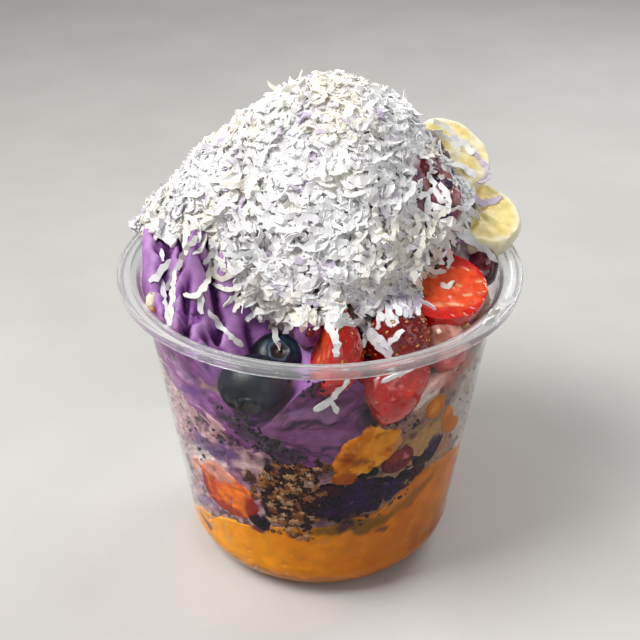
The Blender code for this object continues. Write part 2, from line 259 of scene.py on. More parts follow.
def ring_faces(rows, columns):
    """Triangles between rings of points, ring after ring."""
    row = np.arange(rows - 1)[:, None] * columns
    column = np.arange(columns)[None, :]
    a, b = row + column, row + (column + 1) % columns
    first = np.stack([a, b, b + columns], -1).reshape(-1, 3)
    second = np.stack([a, b + columns, a + columns], -1).reshape(-1, 3)
    return np.concatenate([first, second])


def body(rings, first_pole, last_pole):
    """Points and triangles of a closed body through rings of equal length, with a pole at each end."""
    rows, columns = rings.shape[:2]
    points = np.concatenate([rings.reshape(-1, 3), [first_pole, last_pole]])
    here = np.arange(columns)
    after = (here + 1) % columns
    last = (rows - 1) * columns
    caps = [np.stack([np.full(columns, rows * columns), after, here], -1),
            np.stack([last + here, last + after, np.full(columns, rows * columns + 1)], -1)]
    return points, np.concatenate([ring_faces(rows, columns), *caps])


def joined(parts):
    """Several point and triangle arrays as one."""
    points, faces, start = [], [], 0
    for some_points, some_faces in parts:
        points.append(some_points)
        faces.append(some_faces + start)
        start += len(some_points)
    return np.concatenate(points), np.concatenate(faces)


def copied(faces, count, per):
    """Triangles of a shape for each of its copies, whose points follow each other, per points a copy."""
    return (faces[None] + (np.arange(count) * per)[:, None, None]).reshape(-1, 3)


def ball(rows, columns):
    """A sphere of radius 1 with its poles on X: its points and triangles."""
    turn = np.linspace(0, math.pi, rows + 2)[1:-1][:, None]
    around = np.arange(columns)[None, :] * 2 * math.pi / columns
    rings = np.stack(np.broadcast_arrays(-np.cos(turn), np.sin(turn) * np.cos(around),
                                         np.sin(turn) * np.sin(around)), -1)
    return body(rings, (-1, 0, 0), (1, 0, 0))


def axes(along, up):
    """Turn that sends X along one direction and Z as near as it can to another, as rows."""
    x_axis = np.array(along, float) / np.linalg.norm(along)
    z_axis = np.array(up, float) - np.dot(up, x_axis) * x_axis
    z_axis /= np.linalg.norm(z_axis)
    return np.stack([x_axis, np.cross(z_axis, x_axis), z_axis])


def from_axis(points):
    """Distances of points from the axis through X = Y = 0."""
    return np.hypot(points[:, 0], points[:, 1])


def centred(points, node):
    """Points moved so that the middle of their box is the middle of a CAD node's box."""
    return points - (points.min(0) + points.max(0)) / 2 + node_middle(node)


def fitted(points, node, along, up=(0, 0, 1)):
    """Points turned and then centred on a CAD node."""
    return centred(points @ axes(along, up), node)


def vertex_normals(points, faces):
    """The outward direction at each point."""
    flat = np.cross(points[faces[:, 1]] - points[faces[:, 0]], points[faces[:, 2]] - points[faces[:, 0]])
    normals = np.zeros_like(points)
    for k in range(3):
        np.add.at(normals, faces[:, k], flat)
    return unit(normals)


# ---------------------------------------------------------------- materials


class Nodes:
    """A material's nodes, chained by short calls."""

    def __init__(self, name, colour=(0.8, 0.8, 0.8), **values):
        self.made = bpy.data.materials.new(name)
        self.made.use_nodes = True
        self.tree = self.made.node_tree
        self.shader = self.tree.nodes["Principled BSDF"]
        self.shader.inputs["Base Color"].default_value = (*colour, 1)
        for socket, value in values.items():
            self.shader.inputs[socket.replace("_", " ")].default_value = value
        self.place = self.add("ShaderNodeTexCoord").outputs["Object"]

    def add(self, kind, inputs=(), **settings):
        """A node, its inputs linked to sockets or set to values."""
        node = self.tree.nodes.new(kind)
        for key, value in settings.items():
            setattr(node, key, value)
        for key, value in dict(inputs).items():
            if isinstance(value, bpy.types.NodeSocket):
                self.tree.links.new(value, node.inputs[key])
            else:
                node.inputs[key].default_value = value
        return node

    def noise(self, size, detail):
        """Noise with lumps of about the size in mm."""
        inputs = {"Vector": self.place, "Scale": 1 / (size * MM), "Detail": detail, "Roughness": 0.55}
        return self.add("ShaderNodeTexNoise", inputs).outputs["Fac"]

    def ramp(self, value, low, high, bottom=0.0, top=1.0):
        """A soft step from bottom at low to top at high."""
        inputs = {"Value": value, "From Min": low, "From Max": high, "To Min": bottom, "To Max": top}
        return self.add("ShaderNodeMapRange", inputs, interpolation_type="SMOOTHSTEP").outputs["Result"]

    def maths(self, operation, first, second):
        """A sum, or another operation on two values."""
        return self.add("ShaderNodeMath", {0: first, 1: second}, operation=operation).outputs[0]

    def mix(self, share, first, second, blend="MIX"):
        """Two colours mixed, each a socket or three values."""
        first = (*first, 1) if isinstance(first, tuple) else first
        second = (*second, 1) if isinstance(second, tuple) else second
        node = self.add("ShaderNodeMix", {0: share, 6: first, 7: second}, data_type="RGBA", blend_type=blend)
        return node.outputs[2]

    def tint(self):
        """The colour that add_piece gave each point."""
        return self.add("ShaderNodeAttribute", attribute_name="tint").outputs["Color"]

    def colour(self, socket):
        """Takes the colour from a socket."""
        self.tree.links.new(socket, self.shader.inputs["Base Color"])

    def roughness(self, socket):
        """Takes the roughness from a socket."""
        self.tree.links.new(socket, self.shader.inputs["Roughness"])

    def bump(self, height, strength, distance=0.3):
        """Bumps by a height, up to a distance in mm."""
        inputs = {"Height": height, "Strength": strength, "Distance": distance * MM}
        node = self.add("ShaderNodeBump", inputs)
        self.tree.links.new(node.outputs[0], self.shader.inputs["Normal"])


def painted(name, light, dark, size, fine, bump, rough_low, rough_high, **values):
    """A wet food surface: the piece's tint times dark to light, by noise of the given size, and a roughness by
    finer noise. Both raise the bump."""
    look = Nodes(name, **values)
    tint = look.tint()
    coarse = look.noise(size, 4)
    small = look.noise(fine, 3)
    grey = look.ramp(coarse, 0.3, 0.7, dark, light)
    shade = look.add("ShaderNodeCombineColor", {0: grey, 1: grey, 2: grey}).outputs[0]
    look.colour(look.mix(1.0, tint, shade, "MULTIPLY"))
    look.roughness(look.ramp(small, 0.3, 0.7, rough_low, rough_high))
    look.bump(look.maths("ADD", coarse, small), bump)
    return look.made


def clear_plastic(name, colour, **values):
    """Thin clear plastic that lamps shine through."""
    look = Nodes(name, colour, **values)
    look.bump(look.noise(18, 2), 0.05, 1.0)
    path = look.add("ShaderNodeLightPath").outputs["Is Shadow Ray"]
    open_way = look.add("ShaderNodeBsdfTransparent", {"Color": (0.93, 0.94, 0.95, 1)}).outputs[0]
    both = look.add("ShaderNodeMixShader", {0: path, 1: look.shader.outputs[0], 2: open_way}).outputs[0]
    look.tree.links.new(both, look.tree.nodes["Material Output"].inputs["Surface"])
    return look.made


# ---------------------------------------------------------------- cup


def arc(middle, radius, first, last, steps):
    """Points of a profile on an arc between two angles."""
    turn = np.radians(np.linspace(first, last, steps))
    return [(middle[0] + radius * math.cos(a), middle[1] + radius * math.sin(a)) for a in turn]


def make_cup(looks):
    """The turned cup, from the middle of its base outside, over the rim, to the middle of its floor."""
    flat = HEEL_RADIUS - HEEL_ROUND
    top = CUP_HEIGHT
    base, floor = 0.35, WALL + 0.1
    outside = [(8, base), (20, base), (25, 0.3), (26.4, 0.02), (28.2, 0)]
    outside += arc((flat, HEEL_ROUND), HEEL_ROUND, -88, 0, 20)
    walls = np.linspace(HEEL_ROUND + 3, WALL_TOP - 1, 24)
    outside += [(float(wall_radius(z)), z) for z in walls]
    rim = [(SKIRT_RADIUS + 0.25, top - 3.0), (SKIRT_RADIUS + 0.8, top - 2.0), (SKIRT_RADIUS + 1.6, top - 1.2)]
    rim += [(RIM_RADIUS - 3.6, top - 0.95), (RIM_RADIUS - 1.9, top - 0.95)]
    rim += [(RIM_RADIUS - 1.35, top - 1.3), (RIM_RADIUS - 1.2, top - 2.0)]
    rim += arc((RIM_RADIUS - 0.7, WALL_TOP + 0.35), 0.5, 180, 360, 7)
    rim += arc((RIM_RADIUS - 0.8, top - 0.8), 0.8, 0, 90, 6)
    rim += [(RIM_RADIUS - 1.5, top - 0.18), (RIM_RADIUS - 2.9, top - 0.2)]
    rim += arc((RIM_RADIUS - 3.7, top - 0.42), 0.42, 60, 140, 5)
    rim += [(RIM_RADIUS - 4.7, top - 0.75), (RIM_RADIUS - 5.7, top - 1.6), (SKIRT_RADIUS - WALL + 0.5, top - 2.3)]
    inside = [(float(wall_radius(z, WALL)), z) for z in walls[::-1]]
    inside += arc((flat, HEEL_ROUND), HEEL_ROUND - WALL, 0, -88, 18)
    inside += [(26, WALL), (20, floor), (8, floor)]
    profile = np.array(outside + rim + inside)
    columns = 240
    degrees = np.arange(columns) * 360 / columns - 180
    rings = round_point(degrees[None, :], profile[:, :1], profile[:, 1:])
    points, faces = body(rings, (0, 0, base), (0, 0, floor))
    cup = add_piece("clear_cup", points, faces, looks["cup"], "clear_plastic", ["cup"])
    cup.data.materials.append(looks["rim"])
    on_rim = points[faces][:, :, 2].min(axis=1) > WALL_TOP - 0.5
    cup.data.polygons.foreach_set("material_index", on_rim.astype(np.int32))


# ---------------------------------------------------------------- painting


def mottled(points, tint, patches):
    """Lays patches of noise on a tint. Each is a colour, how strong it is, the noise's size, octaves and seed, and
    the values of the noise where the patch starts and where it is full."""
    for colour, strength, size, octaves, seed, low, high in patches:
        tint = mixed(tint, srgb(*colour), strength * smooth(low, high, rough(points, size, octaves, seed)))
    return tint


def blot_share(degrees, z, blot):
    """How much of a blot covers each place: an ellipse on the wall that may lean, 1 inside and 0 outside."""
    middle, height, wide, tall, lean = blot
    away = np.hypot((degrees - middle) / wide, (z - height - lean * (degrees - middle)) / tall)
    return smooth(1.25, 0.75, away)


def paint(points, tint, blots, ragged=1.6, size=3.5, seed=0):
    """Lays blots of colour on a tint. Each is a colour, how strong it is and where it lies on the wall."""
    shift = ragged * np.stack([rough(points, size, 3, seed + k) for k in (0, 5)], -1)
    degrees = angle_of(points) + 1.25 * shift[..., 0]
    z = points[..., 2] + shift[..., 1]
    for colour, strength, *blot in blots:
        tint = mixed(tint, srgb(*colour), strength * blot_share(degrees, z, blot))
    return tint


# ---------------------------------------------------------------- layers

COLUMNS = 400
AROUND = np.arange(COLUMNS) * 360 / COLUMNS - 180


def boundary(edge, centre, share):
    """Heights of the boundary between two layers at a share of the way from the axis to the wall."""
    return centre + (round_wall(edge, AROUND) - centre) * share ** 1.5


def wall_rows(low, high, rows, dents, power=1.0, keep=None):
    """Rings up the wall between two lists of heights. dents says how far in mm each point leaves the wall."""
    part = (np.linspace(0, 1, rows) ** power)[:, None]
    z = low + (high - low) * part
    degrees = np.broadcast_to(AROUND, z.shape)
    flat = at_wall(degrees, z, -PRESS)
    depth = -PRESS + np.maximum(dents(flat), 0)
    radius = wall_radius(z, WALL + depth)
    if keep is not None:
        radius = radius * (1 - (1 - keep) * smooth(0, 0.5, part))
    return round_point(degrees, radius, z)


def level_rows(heights, shares, z_of_share):
    """Rings of a layer's lower or upper surface, from their shares of the wall's radius."""
    rows = []
    for share in shares:
        z = z_of_share(share) + heights
        rows.append(round_point(AROUND, share * wall_radius(z, WALL + 0.5), z))
    return np.array(rows)


def make_mango(look):
    """Mango puree in the base of the cup, its colour darkened towards the right and low on the right by painted shade.
    """
    edge = round_wall(MANGO_EDGE, AROUND)
    ring = at_wall(AROUND, edge, 0)
    edge = edge + 1.1 * rough(ring, 6, 3, 2)
    floor = WALL - PRESS
    base = np.array([round_point(AROUND, share * (HEEL_RADIUS - HEEL_ROUND), floor) for share in (0.3, 0.65, 0.95)])

    def dents(points):
        bubbles = 0.5 * smooth(0.5, 0.9, noise(points, 1.8, 4)) * smooth(4, 9, points[..., 2])
        return bubbles + 0.12 * rough(points, 7, 2, 5)

    wall = wall_rows(floor, edge, 70, dents, power=1.5)
    top = level_rows(0, (0.95, 0.8, 0.6, 0.4, 0.2), lambda s: boundary(MANGO_EDGE, MANGO_CENTRE, s))
    rings = np.concatenate([base, wall, top])
    points, faces = body(rings, (0, 0, floor), (0, 0, MANGO_CENTRE))
    degrees, z = angle_of(points), points[:, 2]
    # Painted shade: the mango's colour runs darker from left to right.
    tint = mixed(srgb(244, 156, 8), srgb(202, 108, 1), to_the_right(-50, 30, degrees + 6 * rough(points, 12, 2, 8)))
    # More painted shade, low down on the right side.
    tint = mixed(tint, srgb(138, 60, 1), 0.7 * to_the_right(-5, 60, degrees) * smooth(34, 8, z))
    streaks = ridges(points * (1, 1, 0.35), 5, 3) ** 3
    tint = mixed(tint, srgb(250, 160, 16), 0.25 * streaks)
    blots = [
        ((98, 76, 14), 0.85, 14, 30.5, 17, 3.4, 0.02), ((98, 76, 14), 0.6, 38, 36, 10, 3, 0.4),
        ((70, 26, 60), 0.9, -25, 26.5, 3.2, 1.8, 0), ((60, 24, 50), 0.85, -10, 27, 3, 1.6, 0),
        ((56, 20, 50), 0.8, 10, 30.5, 4, 2, 0), ((70, 30, 40), 0.75, 25, 26, 3, 1.2, 0),
        ((236, 176, 110), 0.5, -42, 18, 0.9, 5.5, -0.9), ((80, 30, 60), 0.8, -58, 15, 5, 1.6, -0.2),
        ((150, 84, 20), 0.5, -20, 5, 50, 3, 0), ((190, 120, 50), 0.3, 38, 7, 10, 1.2, 0.1),
    ]
    tint = paint(points, tint, blots)
    add_piece("mango_puree_fill", points, faces, look, "mango", ["mango_puree"], tint)


def make_ice(look):
    """Milky shaved ice between the mango and the ice cream, stained by both, and made darker and browner towards the
    right by painted shade and a painted warm reflection.
    """
    low = round_wall(MANGO_EDGE, AROUND) - 2.5
    high = round_wall(ICE_EDGE, AROUND) + 2.0

    def dents(points):
        pits = smooth(0.1, 0.7, rough(points, 3.2, 3, 11))
        return 0.06 + 1.1 * pits + 0.35 * np.abs(rough(points, 1.3, 2, 14))

    wall = wall_rows(low, high, 96, dents)
    bottom = level_rows(-1.5, (0.2, 0.45, 0.7, 0.9), lambda s: boundary(MANGO_EDGE, MANGO_CENTRE, s))
    top = level_rows(1.5, (0.9, 0.7, 0.45, 0.2), lambda s: boundary(ICE_EDGE, ICE_CENTRE, s))
    points, faces = body(np.concatenate([bottom, wall, top]), (0, 0, MANGO_CENTRE - 1.5),
                         (0, 0, ICE_CENTRE + 1.5))
    degrees = angle_of(points)
    # Painted shade and a painted warm reflection: the ice runs darker and browner from left to right.
    tint = mixed(srgb(186, 140, 146), srgb(134, 94, 66), to_the_right(-30, 20, degrees))
    tint = mottled(points, tint, [((132, 78, 120), 0.85 * smooth(40, -20, degrees), 5, 3, 17, 0, 0.4)])
    # The pale patches follow the same painted shade and warm reflection towards the right.
    pale = mixed(srgb(216, 182, 180), srgb(170, 136, 102), to_the_right(-30, 20, degrees))
    tint = mixed(tint, pale, 0.8 * smooth(0.15, 0.6, rough(points, 4, 3, 23)))
    tint = mottled(points, tint, [((212, 178, 156), 0.5 * smooth(62, 95, degrees), 6, 3, 26, -0.5, 0.4),
                                  ((64, 28, 46), 0.85, 2.6, 3, 29, 0.38, 0.6)])
    blots = [
        ((96, 60, 128), 0.8, -75, 20, 9, 6, 0.7), ((120, 44, 84), 0.75, -62, 32, 3, 5, 0.9),
        ((96, 40, 84), 0.8, -80, 38, 3.5, 7, 0.5), ((116, 24, 40), 0.8, -63, 36, 2.2, 3.5, 0.6),
        ((116, 24, 44), 0.8, -66, 25, 2.2, 3.0, 0.6), ((92, 50, 118), 0.8, -55, 25, 8, 2.6, 0.5),
        ((226, 130, 50), 0.8, -56, 40, 2.5, 2.2, 0), ((235, 214, 210), 0.8, -50, 47, 8, 4, 0.3),
        ((96, 58, 120), 0.85, -40, 53, 12, 4, 0.1), ((90, 60, 104), 0.6, -84, 52, 8, 6, 0),
        ((196, 140, 60), 0.6, 36, 56, 12, 6, 0.3), ((120, 84, 84), 0.6, 26, 68, 8, 5, 0),
        ((200, 186, 176), 0.7, 62, 62, 12, 14, 0), ((224, 196, 190), 0.7, 66, 40, 4, 10, 0),
        ((176, 104, 44), 0.6, 52, 50, 3, 8, 0.6), ((220, 206, 196), 0.8, 34, 76, 10, 4, 0.2),
        ((70, 30, 60), 0.8, -8, 55, 14, 5, 0), ((60, 24, 50), 0.8, 8, 40, 20, 8, 0.2),
        ((190, 90, 80), 0.5, 48, 77, 12, 4, 0), ((150, 110, 60), 0.5, 30, 44, 6, 6, 0),
    ]
    tint = paint(points, tint, blots, seed=3)
    add_piece("milky_ice_fill", points, faces, look, "milky_ice", ["milky_ice"], tint)


# Folds of the ice cream: from, to, height, width and how torn it is
FOLDS = [
    ((-51, 10), (-48, -15), 3.0, 3.6, 0), ((-43.5, 6), (-43, -20), -3.4, 2.0, 0.2),
    ((-43, -20), (-40.5, -32), -2.6, 1.6, 0.3), ((-33, 4), (-35, -18), 4.2, 3.0, 1),
    ((-35, -18), (-38.5, -35), 4.4, 2.6, 1), ((-38.6, -6), (-37.2, -19), -4.5, 1.2, 0.5),
    ((-37, -23), (-35.4, -34), -4.0, 1.0, 0.5), ((-33, -21), (-31.5, -36), 3.0, 2.0, 0.8),
    ((-30, -12), (-29, -30), -4.5, 1.3, 0.3), ((-25, -8), (-24, -32), 2.4, 4.2, 0),
    ((-45, -22), (-38, -37), 1.6, 2.0, 0.2), ((-20, -26), (-14, -30), -1.5, 2.0, 0),
    ((-47, 0), (-46, -8), -1.6, 1.0, 0.2), ((-28, -30), (-20, -36), -1.4, 1.2, 0.2),
]


def level_with(x, y):
    """Points at height 0."""
    return np.stack([x, y, np.zeros_like(x)], -1)


def folds_at(x, y):
    """Height of the folds, and how torn the ice cream is."""
    flat = level_with(x, y)
    shift_x = x + 1.5 * rough(flat, 7, 3, 31)
    shift_y = y + 1.5 * rough(flat, 7, 3, 33)
    z, torn = np.zeros(np.shape(x)), 0.15 * smooth(0.2, 0.6, rough(flat, 9, 2, 37))
    for (x0, y0), (x1, y1), height, width, tear in FOLDS:
        run_x, run_y = x1 - x0, y1 - y0
        part = np.clip(((shift_x - x0) * run_x + (shift_y - y0) * run_y) / (run_x ** 2 + run_y ** 2), 0, 1)
        away = np.hypot(shift_x - x0 - part * run_x, shift_y - y0 - part * run_y)
        z = z + height * np.exp(-(away / width) ** 2)
        torn = np.maximum(torn, tear * np.exp(-(away / (1.5 * width)) ** 4))
    return z, torn


TOP_ROWS = 80  # rings of points on the ice cream's top


def ice_cream_top(x, y):
    """Height of the ice cream's top with its folds."""
    z, torn = folds_at(x, y)
    z = z + ICE_CREAM_LEVEL
    for bump_x, bump_y, height, spread in ICE_CREAM_BUMPS:
        z = z + height * np.exp(-((x - bump_x) ** 2 + (y - bump_y) ** 2) / (2 * spread ** 2))
    flat = level_with(x, y)
    z = z + 0.35 * rough(flat, 5, 3, 41) + 3.0 * torn * (ridges(flat * (1, 0.7, 1), 2.8, 43) ** 2 - 0.45)
    return z + 0.9 * torn * rough(flat, 1.5, 2, 45)


def make_ice_cream(look):
    """Purple yam ice cream, pressed on the wall and folded on top. Its sides are darkened towards the right by painted
    shade, and its top gets painted highlights on the crests and painted shade in the hollows.
    """
    keep = 1 - 0.2 * np.exp(-((AROUND - 52) / 38) ** 2)
    turn = np.radians(AROUND)
    high = np.full(COLUMNS, ICE_CREAM_LEVEL)
    for _ in range(8):
        edge = keep * wall_radius(high, WALL - PRESS)
        edge_z = ice_cream_top(edge * np.sin(turn), -edge * np.cos(turn))
        high = np.minimum(edge_z, WALL_TOP)
    low = round_wall(ICE_EDGE, AROUND) + 0.8 * rough(at_wall(AROUND, 60, 0), 5, 3, 46)

    def dents(points):
        bent = points + 2.0 * rough(points, 9, 2, 47)[..., None]
        folds = smooth(0.85, 0.98, ridges(bent * (1, 1, 1.7), 9, 48))
        pits = smooth(0.5, 0.8, rough(points, 2.4, 2, 49))
        return 0.8 * folds + 0.4 * pits

    wall = wall_rows(low, high, 90, dents, keep=keep)
    bottom = level_rows(-1.0, (0.3, 0.6, 0.9), lambda s: boundary(ICE_EDGE, ICE_CENTRE, s))
    tops = []
    for share in np.linspace(0.985, 0.02, TOP_ROWS):
        x, y = share * edge * np.sin(turn), -share * edge * np.cos(turn)
        tops.append(np.stack([x, y, ice_cream_top(x, y)], -1))
    points, faces = body(np.concatenate([bottom, wall, tops]), (0, 0, ICE_CENTRE - 1),
                         (0, 0, float(ice_cream_top(0.0, 0.0))))
    degrees = angle_of(points)
    top = len(points) - 2 - TOP_ROWS * COLUMNS
    x, y, z = points[top:-2].T
    around = [ice_cream_top(x + 2.2 * dx, y + 2.2 * dy) for dx, dy in ((1, 0), (-1, 0), (0, 1), (0, -1))]
    hollow = np.zeros(len(points))
    hollow[top:-2] = np.mean(around, axis=0) - z
    tint = mottled(points * (1, 1, 1.5), srgb(134, 84, 142), [((172, 128, 180), 0.8, 8, 3, 51, 0, 0.7)])
    tint = mottled(points * (1, 1, 1.4), tint, [((88, 40, 96), 0.7, 6, 3, 57, 0.1, 0.7)])
    tint = mottled(points, tint, [((186, 150, 186), 0.35, 2.2, 3, 61, 0.4, 0.7)])
    on_top = np.zeros(len(points))
    on_top[top:-2] = 1
    side = (1 - on_top)[:, None]
    # On the sides seen through the wall, the colour is shifted redder everywhere and darkened towards the right by
    # painted shade.
    side_tone_and_shade = mixed((1.0, 0.8, 0.88), (0.62, 0.36, 0.5), to_the_right(-40, 0, degrees + 6 * rough(points, 9, 2, 65)))
    tint = tint * (1 - side + side * side_tone_and_shade)
    tint = mixed(tint, srgb(172, 116, 190), 0.55 * on_top)
    tint = mixed(tint, srgb(112, 48, 132), 0.7 * folds_at(points[:, 0], points[:, 1])[1] * on_top)
    # Painted highlight on the crests of the top.
    tint = mixed(tint, srgb(196, 154, 206), 0.6 * smooth(0.1, -1.2, hollow) * on_top)
    # Painted shade in the hollows of the top.
    tint = mixed(tint, srgb(56, 6, 70), 0.95 * smooth(0.1, 1.0, hollow + 0.25 * rough(points, 3, 2, 63)) * on_top)
    blots = [
        ((176, 140, 132), 0.7, -36, 77, 5, 1.2, 0.1), ((166, 124, 112), 0.7, -26, 73.5, 7, 1.1, -0.25),
        ((150, 96, 70), 0.6, -16, 73, 4, 1.2, 0.1), ((52, 36, 54), 0.75, -24, 65, 13, 3.2, -0.35),
        ((46, 32, 46), 0.7, -12, 58, 8, 3, 0), ((148, 104, 148), 0.7, -2, 74, 9, 2.2, 0.1),
        ((36, 12, 44), 0.85, -4, 70.5, 10, 0.8, 0.12), ((122, 78, 124), 0.6, 2, 65.5, 8, 2.0, -0.1),
        ((36, 12, 44), 0.85, 3, 61, 11, 0.8, -0.1), ((104, 62, 106), 0.5, 6, 57.5, 6, 1.6, 0),
        ((36, 14, 40), 0.8, 16, 66, 3, 8, 0), ((176, 140, 168), 0.6, -78, 66, 10, 3.0, 0.2),
        ((88, 48, 120), 0.7, -62, 84, 16, 2.0, 0.2), ((96, 56, 130), 0.7, -50, 70, 10, 1.4, 0.5),
        ((226, 176, 190), 0.6, 58, 84, 14, 5, 0), ((150, 30, 40), 0.7, 50, 82, 6, 3, 0),
    ]
    tint = paint(points, tint, blots, seed=7)
    add_piece("ube_scoops", points, faces, look, "ube", ["ube_ice_cream"], tint)


# ---------------------------------------------------------------- chunks pressed on the wall


def soft_outline(corners, count):
    """A closed outline through corners, rounded and evenly spaced."""
    line = np.array(corners, float)
    for _ in range(3):
        after = np.roll(line, -1, axis=0)
        line = np.stack([0.75 * line + 0.25 * after, 0.25 * line + 0.75 * after], 1).reshape(-1, 2)
    closed = np.concatenate([line, line[:1]])
    run = np.concatenate([[0], np.cumsum(np.hypot(*np.diff(closed, axis=0).T))])
    steps = np.linspace(0, run[-1], count, endpoint=False)
    return np.stack([np.interp(steps, run, closed[:, k]) for k in (0, 1)], -1)


def pad(corners, thick, ragged=0.6, bevel=0.8, dent=0.3, seed=0, columns=120, press=CHUNK_PRESS):
    """A chunk with one side pressed on the wall. corners are angles and heights, anticlockwise from outside."""
    line = soft_outline(corners, columns)
    middle = line.mean(0)
    edge = at_wall(line[:, 0], line[:, 1], 0)
    swell = 1 + ragged * rough(edge, 2.6, 3, seed) / np.maximum(np.hypot(*(line - middle).T), 2)
    line = middle + (line - middle) * swell[:, None]
    shares = [0.35, 0.7, 0.97, 1.03, 1.02, 0.985, 0.95, 0.9, 0.84, 0.76, 0.66, 0.55, 0.43, 0.3, 0.16]
    depths = [thick, thick * 0.95, thick * 0.6, thick * 0.3, bevel, bevel * 0.5, bevel * 0.2] + [0.0] * 8
    rings = []
    for share, depth in zip(shares, depths):
        place = middle + (line - middle) * share
        flat = at_wall(place[:, 0], place[:, 1], 0)
        uneven = dent * smooth(0.15, 0.8, rough(flat, 2.4, 3, seed + 5)) if depth < thick * 0.3 else 0
        rings.append(at_wall(place[:, 0], place[:, 1], depth - press + uneven))
    back = at_wall(middle[0], middle[1], thick)
    front = at_wall(middle[0], middle[1], -press)
    return body(np.array(rings), back, front)


def make_chunks(looks):
    """Mango, papaya, beans and jam that show through the wall in front."""
    def show(name, parts, look, slot, stands_for, base, blots, seed, spots=()):
        """One piece of several chunks. Its spots are a colour, the noise's size, its value, and how strong it is."""
        points, faces = joined(parts)
        tint = srgb(*base)
        for colour, size, low, strength in spots:
            seed += 3
            tint = mixed(tint, srgb(*colour), strength * smooth(low, low + 0.3, rough(points, size, 3, seed)))
        tint = paint(points, tint, blots, ragged=0.8, size=2.5, seed=seed)
        add_piece(name, points, faces, looks[look], slot, stands_for, tint)

    mango = [pad([(4, 54), (9, 50), (16, 51), (20, 54), (27, 57), (29, 63), (24, 67), (17, 69), (11, 66), (5, 61)],
                 9, 1.1, seed=1),
             pad([(3, 49), (8, 47.5), (13, 49), (12, 53), (5, 54)], 6, 0.6, seed=2)]
    show("mango_chunk_ripe", mango, "mango", "mango", ["mango_chunk"], (206, 116, 10),
         [((150, 60, 8), 0.8, 8, 50, 6, 2.5, 0), ((232, 150, 30), 0.7, 20, 62, 6, 3, 0.3),
          ((186, 134, 76), 0.6, 27, 59, 2.4, 5, 0.4), ((130, 52, 8), 0.7, 12, 57, 6, 1.2, -0.2)], 3,
         [((236, 160, 34), 4, 0.1, 0.7), ((150, 66, 6), 3, 0.1, 0.7), ((214, 170, 110), 1.4, 0.5, 0.5)])
    piece = [pad([(37, 66), (41, 64), (45, 66), (46, 71), (41, 73), (37, 71)], 5, 0.7, seed=4),
             pad([(46, 60), (49, 55), (57, 52), (60, 56), (53, 60), (50, 66), (46, 66)], 3, 0.5, seed=5)]
    show("mango_piece_ripe", piece, "mango", "mango", ["mango_piece"], (190, 104, 12),
         [((216, 150, 60), 0.6, 41, 69, 2.4, 2, 0)], 5, [((220, 140, 40), 3, 0.1, 0.6)])
    papaya = [pad([(-52, 32), (-45, 29), (-34, 28), (-26, 29), (-23, 35), (-27, 42), (-35, 47), (-44, 48), (-51, 42)],
                  8, 0.9, dent=0.5, seed=6)]
    show("papaya_chunk_ripe", papaya, "papaya", "papaya", ["papaya_chunk"], (222, 84, 16),
         [((206, 146, 130), 0.85, -41, 44, 8, 3.4, 0), ((238, 120, 22), 0.9, -35, 36, 7, 5, 0),
          ((140, 12, 12), 0.9, -51, 34, 3.4, 7, 0), ((140, 14, 10), 0.9, -26, 34, 3.6, 5, 0),
          ((150, 20, 12), 0.85, -40, 30, 8, 2.0, 0)], 8,
         [((240, 140, 50), 3, 0.2, 0.6), ((170, 34, 8), 4, 0.15, 0.7), ((226, 176, 150), 1.4, 0.5, 0.6)])
    bean = [pad([(21, 51), (25, 48.5), (31, 49), (35, 52.5), (34, 57), (29, 58.5), (23, 56.5)], 6, 0.2, bevel=1.6,
                dent=0.1, seed=9)]
    show("red_bean_whole", bean, "red_bean", "red_bean", ["red_bean"], (100, 14, 22),
         [((150, 40, 40), 0.7, 27, 55, 4, 2, 0), ((216, 120, 130), 0.8, 31, 54.5, 1.5, 0.9, 0),
          ((206, 96, 30), 0.8, 33.5, 50.5, 1.3, 0.9, 0)], 10)
    jam = [pad([(-4, 36), (4, 33), (14, 34), (24, 36), (30, 40), (29, 46), (20, 50), (10, 49), (2, 50), (-3, 45)],
               10, 1.6, dent=0.9, seed=11),
           pad([(24, 38), (33, 41), (42, 46), (49, 52), (48, 56), (42, 54), (35, 50), (27, 47)], 7, 1.3, dent=0.9,
               seed=12),
           pad([(-30, 30), (-24, 26), (-19, 27), (-20, 31), (-26, 33)], 3, 0.7, seed=13),
           pad([(12, 50), (17, 49), (22, 51), (19, 54), (13, 53)], 4, 0.6, seed=14)]
    show("ube_jam_smear", jam, "ube_jam", "ube_jam", ["ube_jam"], (22, 3, 32),
         [((70, 10, 22), 0.7, 38, 47, 4, 3, 0.5), ((46, 12, 66), 0.8, 14, 42, 6, 4, 0.2),
          ((72, 12, 20), 0.6, 4, 46, 4, 2, 0)], 14,
         [((56, 18, 78), 3, 0.1, 0.6), ((74, 14, 26), 2.4, 0.35, 0.7), ((8, 2, 16), 4, 0.1, 0.8)])


# ---------------------------------------------------------------- small scattered pieces


def lumps(rng, places, sizes, rows, columns, uneven=0.28):
    """Many small uneven lumps turned at random: points and triangles. sizes holds three half lengths each."""
    points, faces = ball(rows, columns)
    count, per = len(places), len(points)
    turns, _ = np.linalg.qr(rng.normal(size=(count, 3, 3)))
    bumps = 1 + uneven * rng.uniform(-1, 1, (count, per, 1))
    shapes = points[None] * bumps * sizes[:, None, :]
    shapes = np.einsum("nij,nkj->nki", turns, shapes) + places[:, None, :]
    flipped = np.linalg.det(turns) < 0
    shapes[flipped] = 2 * places[flipped][:, None, :] - shapes[flipped]
    return shapes.reshape(-1, 3), copied(faces, count, per), np.repeat(np.arange(count), per)


